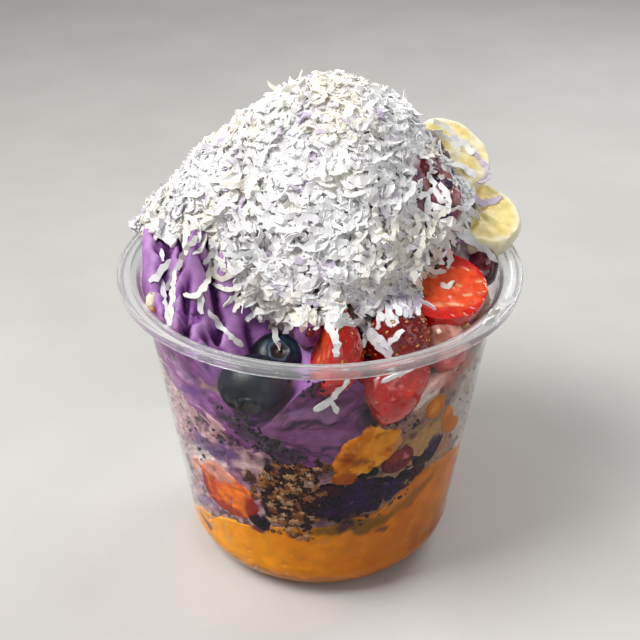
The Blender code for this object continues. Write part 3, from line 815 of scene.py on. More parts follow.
def scattered(rng, spots):
    """Angles and heights scattered in ellipses on the wall: middle, height, half width, half height, lean, count."""
    found = []
    for middle, height, wide, tall, lean, count in spots:
        turn = rng.uniform(0, 2 * math.pi, count)
        out = np.sqrt(rng.uniform(0, 1, count))
        degrees = middle + wide * out * np.cos(turn)
        found.append(np.stack([degrees, height + tall * out * np.sin(turn) + lean * (degrees - middle)], -1))
    return np.concatenate(found)


def hold_in(points, inset):
    """Moves points inwards to the cup's wall, less an inset, where they stand outside it."""
    share = wall_radius(points[:, 2], inset) / from_axis(points)
    points[:, :2] *= np.minimum(1, share)[:, None]


def picked(rng, count, tones):
    """A colour for each piece, at random by the share that goes with it."""
    colours, shares = zip(*tones)
    return np.array([srgb(*colour) for colour in colours])[rng.choice(len(tones), count, p=shares)]


def make_granola(look):
    """Toasted crumbs over a dark core."""
    rng = np.random.default_rng(11)
    core = pad([(-22, 34), (-14, 29), (-4, 30), (1, 36), (1, 48), (-3, 56), (-11, 58), (-19, 55), (-23, 45)],
               10, 1.0, dent=1.2, seed=21, press=0.3)
    spot = scattered(rng, [(-11, 42, 12, 13.5, 0, 430), (-4, 55, 8, 3, 0, 30), (-24, 46, 4, 6, 0, 20),
                           (-9, 28, 12, 2, 0, 24)])
    size = rng.gamma(5, 0.2, (len(spot), 1)).clip(0.4, 2.2) * rng.uniform(0.6, 1.3, (len(spot), 3))
    places = at_wall(spot[:, 0], spot[:, 1], rng.uniform(-0.3, 0.7, len(spot)) + size.mean(1) * 0.4)
    points, faces, owner = lumps(rng, places, size, 5, 9, uneven=0.42)
    hold_in(points, WALL - 0.35)
    tone = picked(rng, len(spot), [((150, 98, 56), 0.24), ((116, 68, 36), 0.22), ((184, 140, 98), 0.14),
                                   ((74, 40, 24), 0.18), ((44, 26, 22), 0.12), ((160, 136, 112), 0.1)])
    all_points, all_faces = joined([core, (points, faces)])
    tint = np.concatenate([np.broadcast_to(srgb(34, 18, 16), core[0].shape), tone[owner]])
    add_piece("granola_crumbs", all_points, all_faces, look, "granola", ["granola"], tint)


def make_specks(look):
    """Dark crumbs and skins pressed on the wall."""
    rng = np.random.default_rng(12)
    places = [
        (-28, 69, 9, 3, -0.3, 34), (-20, 63, 9, 4, -0.2, 44), (-12, 58, 8, 4, 0, 40), (-34, 60, 6, 3, 0, 16),
        (-4, 54, 7, 3, 0, 24), (30, 68, 7, 5, 0, 26), (22, 70, 5, 2, 0, 12), (-2, 84, 5, 4, 0, 22),
        (-50, 52, 9, 8, 0, 14), (14, 33, 10, 2.5, 0, 16), (60, 60, 14, 14, 0, 16), (-72, 40, 14, 16, 0, 14),
        (34, 42, 8, 4, 0.4, 14),
    ]
    spot = scattered(rng, places)
    size = rng.uniform(0.18, 0.62, (len(spot), 1)) * rng.uniform(0.6, 1.5, (len(spot), 3))
    places = at_wall(spot[:, 0], spot[:, 1], rng.uniform(-0.2, 0.3, len(spot)))
    points, faces, owner = lumps(rng, places, size, 4, 7)
    hold_in(points, WALL - 0.5)
    tone = picked(rng, len(spot), [((40, 44, 48), 0.4), ((36, 40, 34), 0.25), ((56, 30, 60), 0.25),
                                   ((76, 70, 66), 0.1)])
    add_piece("dark_specks", points, faces, look, "blueberry", (), tone[owner])


def make_wall_shreds(look):
    """Coconut shreds that lie on the inside of the wall."""
    outlines = [
        [(8.2, 86.5), (7.0, 87.5), (5.6, 86.8), (4.2, 85), (3.4, 82.2), (2.2, 80.2), (-0.6, 78.6), (-2.6, 77.6),
         (-1.6, 76.4), (0.6, 77), (3, 78.4), (4.6, 80.2), (6, 83), (7.4, 84.6)],
        [(2.4, 80), (3.6, 78), (4, 76), (5.6, 75.4), (6, 77), (4.8, 79), (3.8, 80.6)],
        [(18.5, 85.4), (20.5, 86.8), (24, 87), (27, 88.2), (30.5, 87.2), (28, 86), (25.6, 85.6), (24.6, 84),
         (23, 85.2), (20, 84.4)],
    ]
    parts = [pad(outline, 0.7, 0.9, 0.4, seed=seed, columns=64, press=0.2) for seed, outline in enumerate(outlines, 60)]
    points, faces = joined(parts)
    tint = mottled(points, srgb(246, 244, 242), [((226, 222, 226), 1, 1.5, 2, 64, -0.2, 0.5)])
    add_piece("wall_shreds", points, faces, look, "coconut", (), tint)


# ---------------------------------------------------------------- fruit


STEM = 0.42  # how much of a strawberry's length lies on its stem's side of X = 0
GOLDEN_TURN = 2.39996  # spreads seeds evenly round a strawberry


def girth(share):
    """How thick a strawberry is at a share of its length from the stem."""
    return np.sin(math.pi * share ** 0.72) ** 0.7


def strawberry(length, radius, cuts, seed):
    """Points and triangles of a strawberry along X with its tip at +X, its seeds, and which points are cut. Each
    cut is the direction of a flat and how far out it is."""
    rows, columns, seeds = 70, 90, 150
    turn = np.linspace(0, math.pi, rows + 2)[1:-1][:, None]
    around = np.arange(columns)[None, :] * 2 * math.pi / columns
    share = (1 - np.cos(turn)) / 2

    def skin(share, around):
        uneven = 1 + 0.03 * np.cos(3 * around + seed) + 0.02 * np.cos(5 * around + 4 * share)
        out = radius * girth(share) * uneven
        return np.stack(np.broadcast_arrays(length * (share - STEM), out * np.cos(around), out * np.sin(around)), -1)

    points, faces = body(skin(share, around), (-STEM * length, 0, 0), ((1 - STEM) * length, 0, 0))
    step = np.arange(seeds) + 0.5
    at = skin((1 - np.cos(math.pi * (0.08 + 0.86 * step / seeds))) / 2, step * GOLDEN_TURN)
    nearest = np.min(np.linalg.norm(points[:, None] - at[None], axis=2), axis=1)
    outward = (0.2, 1, 1)
    points = points - 0.4 * unit(points * outward) * np.exp(-(nearest / 0.75) ** 2)[:, None]
    at = at - 0.22 * unit(at * outward)
    flat = np.zeros(len(points), bool)
    for *direction, limit in cuts:
        direction = np.array(direction, float)
        over = points @ direction - limit
        flat |= over > -0.02
        points = points - np.maximum(over, 0)[:, None] * direction
        at = at[at @ direction < limit - 0.5]
    return points, faces, at, flat


def seed_shapes(rng, at):
    """Points and triangles of a strawberry's seeds, each lying along the skin towards the tip."""
    size = np.array([0.55, 0.32, 0.25]) * rng.uniform(0.85, 1.1, (len(at), 1))
    points, faces = ball(4, 6)
    out = unit(at)
    side = unit(np.cross(out, RIGHT))
    turns = np.stack([np.cross(side, out), side, out], -1)
    shapes = np.einsum("nij,nkj->nki", turns, points[None] * size[:, None]) + at[:, None]
    return shapes.reshape(-1, 3), copied(faces, len(at), len(points))


def make_strawberries(looks):
    """Five strawberries and their seeds."""
    rng = np.random.default_rng(21)
    # Node, length, radius, cuts, which way the tip and the cut face point, and the skin's colour
    berries = [
        ("strawberry_wedge", 27, 11, [(0, 0, 1, 0)], (0.2, 0.3, 0.92), (-0.98, -0.15, 0.2), (188, 18, 10)),
        ("strawberry_cut", 27, 9.6, [(-1, 0, 0, 8)], (0.8, 0.5, 0.32), (0, 0, 1), (176, 20, 18)),
        ("strawberry_seeded", 20, 8.6, [], (-0.93, -0.15, -0.3), (0, 0, 1), (120, 6, 8)),
        ("strawberry_half", 32, 12.5, [(0, 0, 1, 0)], (-0.93, 0.06, 0.02), (0.12, -0.3, 0.95), (190, 14, 6)),
    ]
    seeds = []
    for i, (node, length, radius, cuts, along, up, skin) in enumerate(berries):
        points, faces, at, flat = strawberry(length, radius, cuts, i)
        tint = mottled(points, srgb(*skin), [((225, 60, 30), 0.45, 7, 2, i + 60, 0.1, 0.8)])
        if cuts:
            across = np.hypot(points[:, 1], points[:, 2]) if cuts[0][0] else np.abs(points[:, 1])
            rim = radius * girth(np.clip(points[:, 0] / length + STEM, 0, 1))
            inner = 1 - np.clip(across / np.maximum(rim, 0.5), 0, 1)
            fibres = smooth(-0.1, 0.9, np.sin(points[:, 0] * 1.9 + 4 * rough(points, 4, 3, i)))
            paler = smooth(0.08, 0.5, inner + 0.25 * rough(points, 3, 3, i + 70))
            flesh = mixed(srgb(196, 18, 8), srgb(226, 72, 26), paler)
            flesh = mixed(flesh, srgb(236, 112, 66), 0.3 * smooth(0.4, 0.9, inner) * fibres)
            white = smooth(0.42, 0.66, rough(points * (1, 2.5, 1), 5, 3, i + 75)) * smooth(0.2, 0.6, inner)
            flesh = mixed(flesh, srgb(240, 196, 150), 0.85 * white)
            tint = np.where(flat[:, None], flesh, tint)
            hollow = np.where(flat, 0.5 * smooth(0.3, 0.9, inner) + 0.25 * rough(points, 2.0, 2, i + 80), 0)
            points = points - hollow[:, None] * np.array(cuts[0][:3], float)
        turn = axes(along, up)
        moved = fitted(points, node, along, up)
        shift = moved[0] - points[0] @ turn
        add_piece(node + "_ripe", moved, faces, looks["strawberry"], "strawberry", [node], tint, CUT_EDGE)
        if node == "strawberry_cut":
            at = at[::3]
        shapes, shape_faces = seed_shapes(rng, at)
        seeds.append((shapes @ turn + shift, shape_faces))
    points, faces = ball(30, 44)
    points = points * (6, 4.5, 4) * (1 + 0.1 * rough(points, 0.9, 2, 90)[:, None])
    heading = math.radians(50)
    moved = fitted(points, "strawberry_piece", (math.cos(heading), math.sin(heading), 0))
    add_piece("strawberry_piece_ripe", moved, faces, looks["strawberry"], "strawberry",
              ["strawberry_piece"], srgb(170, 20, 22), CUT_EDGE)
    points, faces = joined(seeds)
    tint = mottled(points, srgb(222, 168, 84), [((176, 76, 34), 1, 3, 2, 91, -0.2, 0.4)])
    add_piece("strawberry_seeds", points, faces, looks["strawberry_seed"], "strawberry", (), tint)


def make_blueberries(look):
    """Two blueberries with their crowns and bloom."""
    for node, radii, crown, seed in (("blueberry_high", (8.2, 8.2, 7.6), (0.12, -0.62, 0.78), 5),
                                     ("blueberry_low", (9.4, 8.4, 7.9), (-0.1, -0.93, -0.3), 9)):
        points, faces = ball(70, 96)
        away = np.arccos(np.clip(points[:, 0], -1, 1))
        around = np.arctan2(points[:, 2], points[:, 1])
        lobe = 0.5 + 0.5 * np.cos(5 * around)
        ridge = 0.095 * np.exp(-((away - 0.31 - 0.05 * lobe) / 0.065) ** 2) * (0.55 + 0.45 * lobe)
        hollow = -0.11 * smooth(0.32, 0.12, away) + 0.03 * np.exp(-(away / 0.08) ** 2)
        dent = -0.03 * np.exp(-((away - 0.5) / 0.14) ** 2)
        shaped = points * (1 + ridge + hollow + dent + 0.012 * rough(points, 0.6, 2, seed))[:, None]
        moved = centred(shaped @ axes(crown, (0, 0, 1)) * radii, node)
        bloom = 0.12 if node == "blueberry_low" else 0.5
        tint = mottled(points, srgb(9, 12, 20), [((66, 88, 110), bloom, 0.8, 3, seed, -0.3, 0.7),
                                                 ((46, 24, 44), 0.5, 1.3, 2, seed + 2, 0.1, 0.7)])
        tint = mixed(tint, srgb(40, 30, 28), smooth(0.34, 0.24, away))
        tint = mixed(tint, srgb(84, 100, 120), bloom * np.exp(-((away - 0.36) / 0.06) ** 2))
        add_piece(node + "_ripe", moved, faces, look, "blueberry", [node], tint)


def disc(radius, thick, seed, wobble=0.03):
    """Points and triangles of a thick round slice with soft edges, lying flat."""
    columns = 120
    edge = np.linspace(-90, 90, 9)[1:-1]
    soft = min(thick * 0.32, radius * 0.3)
    rows = [(s * (1 - soft / radius), -1) for s in (0.2, 0.45, 0.7, 0.9, 1.0)]
    rows += [(1 - soft / radius * (1 - math.cos(math.radians(a))), math.sin(math.radians(a))) for a in edge]
    rows += [(s * (1 - soft / radius), 1) for s in (1.0, 0.93, 0.85, 0.76, 0.66, 0.55, 0.43, 0.3, 0.16)]
    around = np.arange(columns) * 2 * math.pi / columns
    share, side = np.array(rows).T[:, :, None]
    uneven = 1 + wobble * np.cos(3 * around + seed) + 0.4 * wobble * np.cos(7 * around + 2 * seed)
    z = side * thick / 2 * np.ones(columns)
    rings = np.stack([radius * share * uneven * np.cos(around), radius * share * uneven * np.sin(around), z], -1)
    return body(rings, (0, 0, -thick / 2), (0, 0, thick / 2))


def lay_axes(normal):
    """Directions for the X and Z of a slice whose flat side faces along a normal."""
    return np.cross(normal, (0.2, 1, 0.1)), normal


def make_slices(looks):
    """Banana and plum slices on the heap's right side."""
    bananas = [
        ("banana_slice_low", 14, 6.6, (0.25, -0.3, 0.92), 1), ("banana_slice_high", 13, 7.6, (0.42, -0.45, 0.78), 2),
    ]
    for node, radius, thick, normal, seed in bananas:
        points, faces = disc(radius, thick, seed)
        out = from_axis(points) / radius
        around = np.arctan2(points[:, 1], points[:, 0])
        arms = np.exp(-((out - 0.22) / 0.16) ** 2) * (0.5 + 0.5 * np.cos(3 * around))
        ring = smooth(0.15, 0.6, out + 0.08 * rough(points, 2, 3, seed))
        tint = mixed(srgb(242, 226, 150), srgb(240, 218, 128), ring)
        tint = mixed(tint, srgb(248, 238, 204), smooth(0.72, 0.94, out + 0.1 * rough(points, 4, 3, seed + 9)))
        tint = mixed(tint, srgb(224, 180, 80), 0.5 * arms)
        tint = mottled(points, tint, [((250, 244, 226), 0.8 * (seed - 1), 7, 3, seed + 12, -0.4, 0.5)])
        rays = 0.5 + 0.5 * np.sin(around * 26 + 3 * rough(points, 5, 2, seed + 4))
        tint = mixed(tint, srgb(228, 196, 104), 0.15 * (rays * smooth(0.3, 0.5, out) * smooth(0.85, 0.7, out)))
        top = smooth(thick * 0.3, thick * 0.45, points[:, 2])
        points[:, 2] += top * (0.25 * rough(points, 3, 3, seed + 7) - 0.5 * arms + 0.35 * smooth(0.75, 0.9, out))
        moved = fitted(points, node, *lay_axes(normal))
        add_piece(node + "_ripe", moved, faces, looks["banana"], "banana", [node], tint, CUT_EDGE)
    radius = 8.4
    points, faces = disc(radius, 4.6, 5, wobble=0.06)
    out = from_axis(points) / radius
    tint = mottled(points, srgb(110, 34, 50), [((150, 84, 96), 1, 2.2, 3, 95, 0, 0.6)])
    tint = mixed(tint, srgb(60, 14, 34), smooth(0.8, 0.98, out))
    points[:, 2] += 0.3 * rough(points, 2.5, 3, 96)
    moved = fitted(points, "plum_slice", *lay_axes((-0.5, -0.62, 0.6)))
    add_piece("plum_slice_ripe", moved, faces, looks["plum"], "plum", ["plum_slice"], tint, CUT_EDGE)


def make_small_fruit(looks):
    """The lychee and the pieces of plum and purple yam."""
    for node, name, radii, base, second, look, slot, uneven in (
            ("lychee", "lychee_whole", (5.6, 5.6, 5.4), (206, 150, 138), (150, 84, 72), "lychee", "lychee", 0.05),
            ("plum_piece", "plum_piece_ripe", (5.4, 6, 7.4), (120, 50, 76), (170, 110, 130), "plum", "plum", 0.12),
            ("ube_piece", "ube_piece_soft", (4.2, 4, 6), (150, 104, 160), (96, 54, 120), "ube", "ube", 0.12)):
        points, faces = ball(40, 60)
        seed = len(name)
        shaped = points * radii * (1 + uneven * rough(points, 0.8, 3, seed)[:, None])
        tint = mottled(points, srgb(*base), [(second, 1, 0.7, 3, seed + 1, -0.1, 0.6)])
        moved = centred(shaped, node)
        add_piece(name, moved, faces, looks[look], slot, [node], tint)


# Bits seen from the front: right of and above the middle, half sizes across and up, colour
BITS = [
    (31, 46.5, 2.2, 1.6, (96, 14, 24)), (33.8, 45, 1.8, 1.5, (120, 26, 34)), (36.3, 49.4, 1.5, 1.5, (88, 20, 30)),
    (34.5, 41.5, 1.7, 1.4, (40, 26, 60)), (37.5, 44, 1.8, 1.2, (180, 120, 120)),
    (32.4, 33.5, 1.3, 3.0, (150, 78, 40)), (31.5, 29.5, 1.2, 1.8, (120, 56, 34)),
    (35.5, 28.5, 2.4, 1.8, (36, 24, 62)), (38.5, 30.5, 1.8, 1.6, (60, 40, 90)),
    (39.8, 24.8, 3.2, 2.0, (150, 118, 158)), (27, 41, 1.6, 1.8, (50, 34, 74)), (25.5, 38, 1.4, 1.4, (70, 50, 96)),
    (40.5, 37, 1.8, 2.6, (172, 110, 116)), (38, 40.5, 2.0, 1.6, (70, 36, 70)), (29.5, 37, 1.5, 1.6, (120, 80, 110)),
    (43, -2.5, 2.4, 2.0, (196, 150, 80)), (-50.6, 6, 1.8, 2.2, (236, 222, 190)),
    (-50.4, 2.8, 1.5, 1.4, (186, 120, 30)), (-3, -3.5, 1.2, 1.6, (96, 20, 30)), (-8, 3, 1.6, 1.2, (150, 40, 60)),
    (29, 7, 2.4, 1.8, (60, 16, 50)),
]


def make_bits(look):
    """Small bits of berry, jelly and nut that lie on what is there."""
    rng = np.random.default_rng(25)
    trees = surfaces().values()
    parts, tones = [], []
    for right, above, wide, tall, colour in BITS:
        place = hit(trees, EYE, ray_to(right, above))
        points, faces = ball(14, 22)
        points = points * (1 + 0.22 * rough(points, 0.9, 3, len(parts) + 130))[:, None]
        tilt = rng.uniform(-0.4, 0.4)
        shape = points @ np.array([(wide, 0, wide * tilt), (0, 1.3, 0), (-tall * tilt, 0, tall)])
        shape = shape[:, :1] * RIGHT + shape[:, 1:2] * VIEW + shape[:, 2:] * UP
        parts.append((shape + place + 0.4 * VIEW, faces))
        shade = rough(shape, 1.2, 2, len(parts))
        tones.append(mixed(srgb(*colour), np.array(srgb(*colour)) * 0.35, smooth(-0.1, 0.7, shade)))
    points, faces = joined(parts)
    add_piece("berry_bits", points, faces, look, "plum", (), np.concatenate(tones))


# ---------------------------------------------------------------- coconut


def turned_by(angle, across, through):
    """Two directions across a strip, turned round it."""
    cosine, sine = np.cos(angle)[..., None], np.sin(angle)[..., None]
    return across * cosine + through * sine, -across * sine + through * cosine


def strip_points(centre, across, through, left, right, half):
    """Four corners round each place of a strip's middle line, its upper side a little narrower."""
    pairs = ((-left, -half), (right, -half), (right * 0.9, half), (-left * 0.9, half))
    corners = [centre + across * wide[..., None] + through * high[..., None] for wide, high in pairs]
    return np.stack(corners, -2).reshape(-1, 3)


def strip_faces(rows):
    """Triangles of a strip with four corners in each row, closed at both ends."""
    last = (rows - 1) * 4
    ends = [(0, 2, 1), (0, 3, 2), (last, last + 1, last + 2), (last, last + 2, last + 3)]
    return np.concatenate([ring_faces(rows, 4), ends])


def ribbons(rng, roots, along, up, length, width, thick, steps, bow, ragged=0.3):
    """Many bowed, twisted strips with ragged edges: points, triangles and each point's strip."""
    count = len(roots)
    along = unit(along)
    side = unit(np.cross(up, along))
    up = np.cross(along, side)
    part = np.linspace(-0.5, 0.5, steps + 1)[None, :]
    rise = rng.normal(-0.02, bow, (count, 1)) * length[:, None] * (4 * part ** 2)
    bend = rng.normal(0, bow * 1.3, (count, 1)) * length[:, None] * (4 * part ** 2)
    wave = rng.uniform(0, 6.28, (count, 1))
    bend = bend + rng.normal(0, 0.035, (count, 1)) * length[:, None] * np.sin(9 * part + wave)
    rise = rise + rng.normal(0, 0.03, (count, 1)) * length[:, None] * np.sin(11 * part + 2 * wave)
    bend, rise = bend + rng.normal(0, 0.16, bend.shape), rise + rng.normal(0, 0.14, rise.shape)
    centre = (roots[:, None] + along[:, None] * (part * length[:, None])[..., None]
              + up[:, None] * rise[..., None] + side[:, None] * bend[..., None])
    turn = rng.uniform(-0.5, 0.5, (count, 1)) + rng.normal(0, 0.6, (count, 1)) * 2 * part
    across, through = turned_by(turn, side[:, None], up[:, None])
    taper = 1 - np.where(part < 0, *rng.uniform(-0.2, 0.5, (2, count, 1))) * np.abs(2 * part) ** 5
    left, right = width[:, None] / 2 * taper * (1 + ragged * rng.uniform(-1, 1, (2, count, steps + 1)))
    half = thick[:, None] / 2 * (1 - 0.3 * np.abs(2 * part) ** 4)
    points = strip_points(centre, across, through, left, right, half)
    per = (steps + 1) * 4
    return points, copied(strip_faces(steps + 1), count, per), np.repeat(np.arange(count), per)


def coconut_tones(rng, places, owner):
    """A colour for each strip: off-white, creamy in patches, with a few greyish and lilac ones, and darker low on the
    heap's front by painted shade.
    """
    creamy = smooth(-0.1, 0.5, rough(places, 13, 2, 121)) * smooth(84, 100, places[:, 2])
    tones = mixed(srgb(252, 252, 252), srgb(242, 242, 244), rng.uniform(0, 1, len(places)))
    tones = mixed(tones, srgb(250, 242, 220), creamy * rng.uniform(0, 0.9, len(places)))
    grey, purple = rng.uniform(0, 1, (2, len(places)))
    tones = mixed(tones, srgb(222, 220, 226), 0.8 * (grey < 0.12))
    tones = mixed(tones, srgb(196, 180, 208), 0.8 * (purple < 0.035))
    # Painted shade: strips low on the heap's front get a darker colour.
    lower_front_shade = smooth(128, 100, places[:, 2]) * smooth(20, -10, places[:, 1])
    return (tones * (1 - 0.15 * lower_front_shade)[:, None])[owner]


def surfaces(cup=False):
    """A search tree of every shown piece by name, with or without the cup."""
    graph = bpy.context.evaluated_depsgraph_get()
    return {piece.name: BVHTree.FromObject(piece, graph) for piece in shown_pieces() if cup or piece.name != "clear_cup"}


def hit(trees, start, direction, reach=1000):
    """Nearest hit of a ray on any of the trees, or None."""
    best = None
    start, direction = Vector(np.asarray(start) * MM), Vector(direction).normalized()
    for tree in trees:
        place, _, _, far = tree.ray_cast(start, direction, reach * MM)
        if place is not None and (best is None or far < best[0]):
            best = (far, place)
    return None if best is None else np.array(best[1]) / MM


HEAP_FOOT = 84.0  # the height from which the heap spreads


def heap_samples(rng, count, trees):
    """Places and normals scattered evenly over the open side of the heap."""
    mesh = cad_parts["coconut_heap"].data
    mesh.calc_loop_triangles()
    corners = np.array([[mesh.vertices[v].co[:] for v in t.vertices] for t in mesh.loop_triangles]) / MM
    flat = np.cross(corners[:, 1] - corners[:, 0], corners[:, 2] - corners[:, 0])
    area = np.linalg.norm(flat, axis=1)
    middle = node_middle("coconut_heap")
    keep = (flat[:, 2] > -0.35 * area) & (corners[:, :, 2].mean(1) > HEAP_FOOT + 2)
    corners, flat, area = corners[keep], flat[keep], area[keep]
    chosen = rng.choice(len(area), count * 2, p=area / area.sum())
    one, two = rng.uniform(0, 1, (2, count * 2))
    over = one + two > 1
    one, two = np.where(over, 1 - one, one), np.where(over, 1 - two, two)
    a, b, c = np.moveaxis(corners[chosen], 1, 0)
    places = a + (b - a) * one[:, None] + (c - a) * two[:, None]
    normals = flat[chosen] / area[chosen][:, None]
    out = places - np.array([middle[0], middle[1], HEAP_FOOT])
    normals = unit(normals * 0.55 + 0.45 * unit(out))
    open_side = [hit(trees, p + 1.5 * n, n, 50) is None for p, n in zip(places, normals)]
    places, normals = places[open_side][:count], normals[open_side][:count]
    return settled(places, normals), normals


def settled(places, normals):
    """The heap slumps a little under its top and towards its left."""
    slump = 1.5 * smooth(100, 130, places[:, 2]) + 3.0 * smooth(5, -28, places[:, 0]) * smooth(98, 118, places[:, 2])
    return places - normals * slump[:, None]


def random_along(rng, normals, down):
    """A direction along the surface for each normal, drawn downhill by a share."""
    free = unit(rng.normal(size=normals.shape)) - down * np.array([0, 0, 1.0])
    return unit(free - np.sum(free * normals, axis=1, keepdims=True) * normals)


def fine_points(node, size):
    """Evenly spaced points and triangles on a CAD node's surface."""
    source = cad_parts[node]
    copy = new_object("copy", source.data.copy())
    change = copy.modifiers.new("even", "REMESH")
    change.mode = "VOXEL"
    change.voxel_size = size * MM
    bpy.context.view_layer.update()
    mesh = copy.evaluated_get(bpy.context.evaluated_depsgraph_get()).to_mesh()
    mesh.calc_loop_triangles()
    points = np.zeros(len(mesh.vertices) * 3, np.float32)
    mesh.vertices.foreach_get("co", points)
    faces = np.zeros(len(mesh.loop_triangles) * 3, np.int32)
    mesh.loop_triangles.foreach_get("vertices", faces)
    bpy.data.objects.remove(copy)
    return points.reshape(-1, 3).astype(float) / MM, faces.reshape(-1, 3)


def make_heap_core(look):
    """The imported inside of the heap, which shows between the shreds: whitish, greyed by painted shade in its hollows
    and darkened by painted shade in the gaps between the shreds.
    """
    points, faces = fine_points("coconut_heap", 1.1)
    normals = vertex_normals(points, faces)
    for _ in range(2):
        points = points - 0.4 * normals
        normals = vertex_normals(points, faces)
    points = settled(points, normals)
    relief = 0.9 * rough(points, 5, 3, 101) + 0.7 * (ridges(points, 2.2, 103) - 0.5)
    points = points + normals * (relief - 0.3)[:, None]
    tint = mottled(points, srgb(246, 245, 246), [((248, 240, 214), 0.8, 13, 2, 121, -0.1, 0.5)])
    # Painted shade: the inside turns grey where its relief is low.
    tint = mixed(tint, srgb(222, 218, 222), 0.5 * smooth(0.3, -0.5, relief))
    right = seen_from_front(points)[:, 0]
    stain_and_shade = mottled(points, srgb(176, 128, 144), [((84, 44, 84), 1, 3.5, 3, 123, -0.2, 0.4)])
    tint = mixed(tint, stain_and_shade, berry_share(points))
    # Painted shade in the gaps between the shreds, brown to dark purple, on the heap's lower and right parts.
    stain_and_shade = mixed(srgb(150, 110, 50), srgb(60, 40, 60), smooth(-0.2, 0.2, noise(points, 6, 128)))
    gap = smooth(0.3, 0.42, rough(points, 2.6, 2, 127)) * smooth(134, 118, points[:, 2]) * smooth(-38, -24, right)
    tint = mixed(tint, stain_and_shade, 0.8 * gap)
    # Near the coconut's lower edge in front the inside is purplish brown, partly stained by the ice cream and partly
    # painted shade.
    low = smooth(24, 6, over_the_edge(points) + 5 * rough(points, 7, 2, 124)) * smooth(-26, -8, right)
    stain_and_shade = mottled(points, srgb(120, 88, 84), [((70, 40, 66), 1, 3, 3, 126, -0.2, 0.4)])
    tint = mixed(tint, stain_and_shade, 0.8 * low)
    add_piece("coconut_core", points, faces, look, "coconut", ["coconut_heap"], tint)


def seen_from_front(places):
    """Where places lie seen from the camera's side: right of and above the middle."""
    away = places - EYE
    depth = away @ VIEW
    return np.stack([away[..., 0] / depth, away @ UP / depth], -1) * DISTANCE


def ray_to(right, above):
    """Directions from the camera to places right of and above the middle."""
    return TARGET + right * RIGHT + above * UP - EYE


def edge_at(right):
    """How far above the middle the coconut's lower edge lies, seen from the front."""
    return np.interp(right, *zip(*COCONUT_EDGE))


# Lower edge of the coconut seen from the front: right of and above the middle
COCONUT_EDGE = [
    (-70, 34), (-51, 30), (-39, 25), (-32, 18.5), (-23, 8), (-15, 0), (-8, -1.5), (8, 0.5), (22, 0.5), (25, 6),
    (28, 15), (36, 19), (41, 25), (46, 34), (60, 38),
]


def berry_share(places):
    """How far a place is in the stained patch with berry bits on the heap's right."""
    right, above = seen_from_front(places).T
    right = right + 2.5 * rough(places, 7, 2, 122)
    above = above + 2.5 * rough(places, 7, 2, 125)
    patch = np.hypot((right - 36) / 7.5, (above - 38) / 16)
    return smooth(1.15, 0.8, patch) * (places[:, 1] < 25)


def over_the_edge(places):
    """How far above the coconut's lower edge each place on the heap's front is. Its back is all above."""
    right, above = seen_from_front(places).T
    return np.where(places[:, 1] < 12, above - edge_at(right), 9)


STRAND_STEP = 0.9  # between a strand's rows of points
# Strands placed one by one, as they lie seen from the front: places right of and above the middle, and width
STRANDS = [
    ([(-56, 21), (-51, 23.5), (-46, 24.5), (-41, 23.5)], 2.2), ([(-45, 18), (-48, 14.5), (-51.5, 11.5)], 2.0),
    ([(-37.5, 25), (-41, 20), (-43.5, 15), (-46.5, 9)], 1.6), ([(-47.5, 12), (-46.5, 5), (-45, -3)], 1.5),
    ([(-43.5, 15.5), (-44.5, 7), (-45, -2)], 1.5), ([(-31.5, 20), (-33.5, 14), (-35, 9.5), (-38, 7), (-41, 8)], 2.2),
    ([(-36, 8), (-36, 4), (-35.5, 2)], 1.7), ([(-34, 3), (-29, -3), (-23, -8)], 1.6),
    ([(4, 7), (3, 0), (5, -6), (5, -11)], 2.4), ([(9, 4), (13, -2), (18, -8), (22, -12)], 2.2),
    ([(15, -3), (19.5, -7), (22, -10)], 2.0), ([(25, -3), (22, -6), (20, -8)], 1.8),
    ([(-14, -2), (-13, -6), (-12, -9)], 1.9), ([(-63, 22), (-59, 25), (-54, 26), (-50, 24)], 2.3),
    ([(-61, 26), (-57, 28), (-53, 27)], 2.2), ([(36, 11), (39, 9), (40, 12)], 1.6),
    ([(32, 16), (35, 14), (38, 15)], 1.7), ([(23, 7), (27, 9), (31, 10)], 1.6), ([(58, 4), (56, 2), (53, 0)], 2.4),
    ([(52, 5), (50, 3), (49, 0)], 2.4), ([(12, 2), (14, -3), (13, -8)], 2.0), ([(34, 57), (38, 55), (42, 51)], 2.6),
    ([(36, 51.5), (41, 50.5), (45, 46)], 2.6), ([(38, 47), (43, 46.5), (47, 43)], 2.4),
    ([(33, 60), (37, 58.5), (41, 56)], 2.4), ([(37, 30), (44, 29.5), (49, 26.5)], 2.2),
    ([(40, 27), (45, 24), (50, 21), (54, 17)], 1.8), ([(32.5, 39), (32.5, 32), (34.5, 25)], 1.8),
    ([(36, 41), (39, 37), (38.5, 32)], 1.8), ([(55, 6), (58, 5.5), (60, 5)], 2.6),
    ([(50, 2), (52, 1), (53.5, 2)], 2.4), ([(38, 55), (43, 54), (46, 50)], 2.2),
    ([(42, 34), (46, 33), (48, 30)], 1.8),
]
# The same over the cup's rim
RIM_STRANDS = [([(54, 5.2), (57, 6), (60, 5.4)], 2.6), ([(55, 3), (58, 3.8), (60, 3.2)], 2.2),
               ([(49, -1.4), (51.5, 0), (54, 0.6)], 2.6), ([(51, 1.6), (54, 3)], 2.0)]


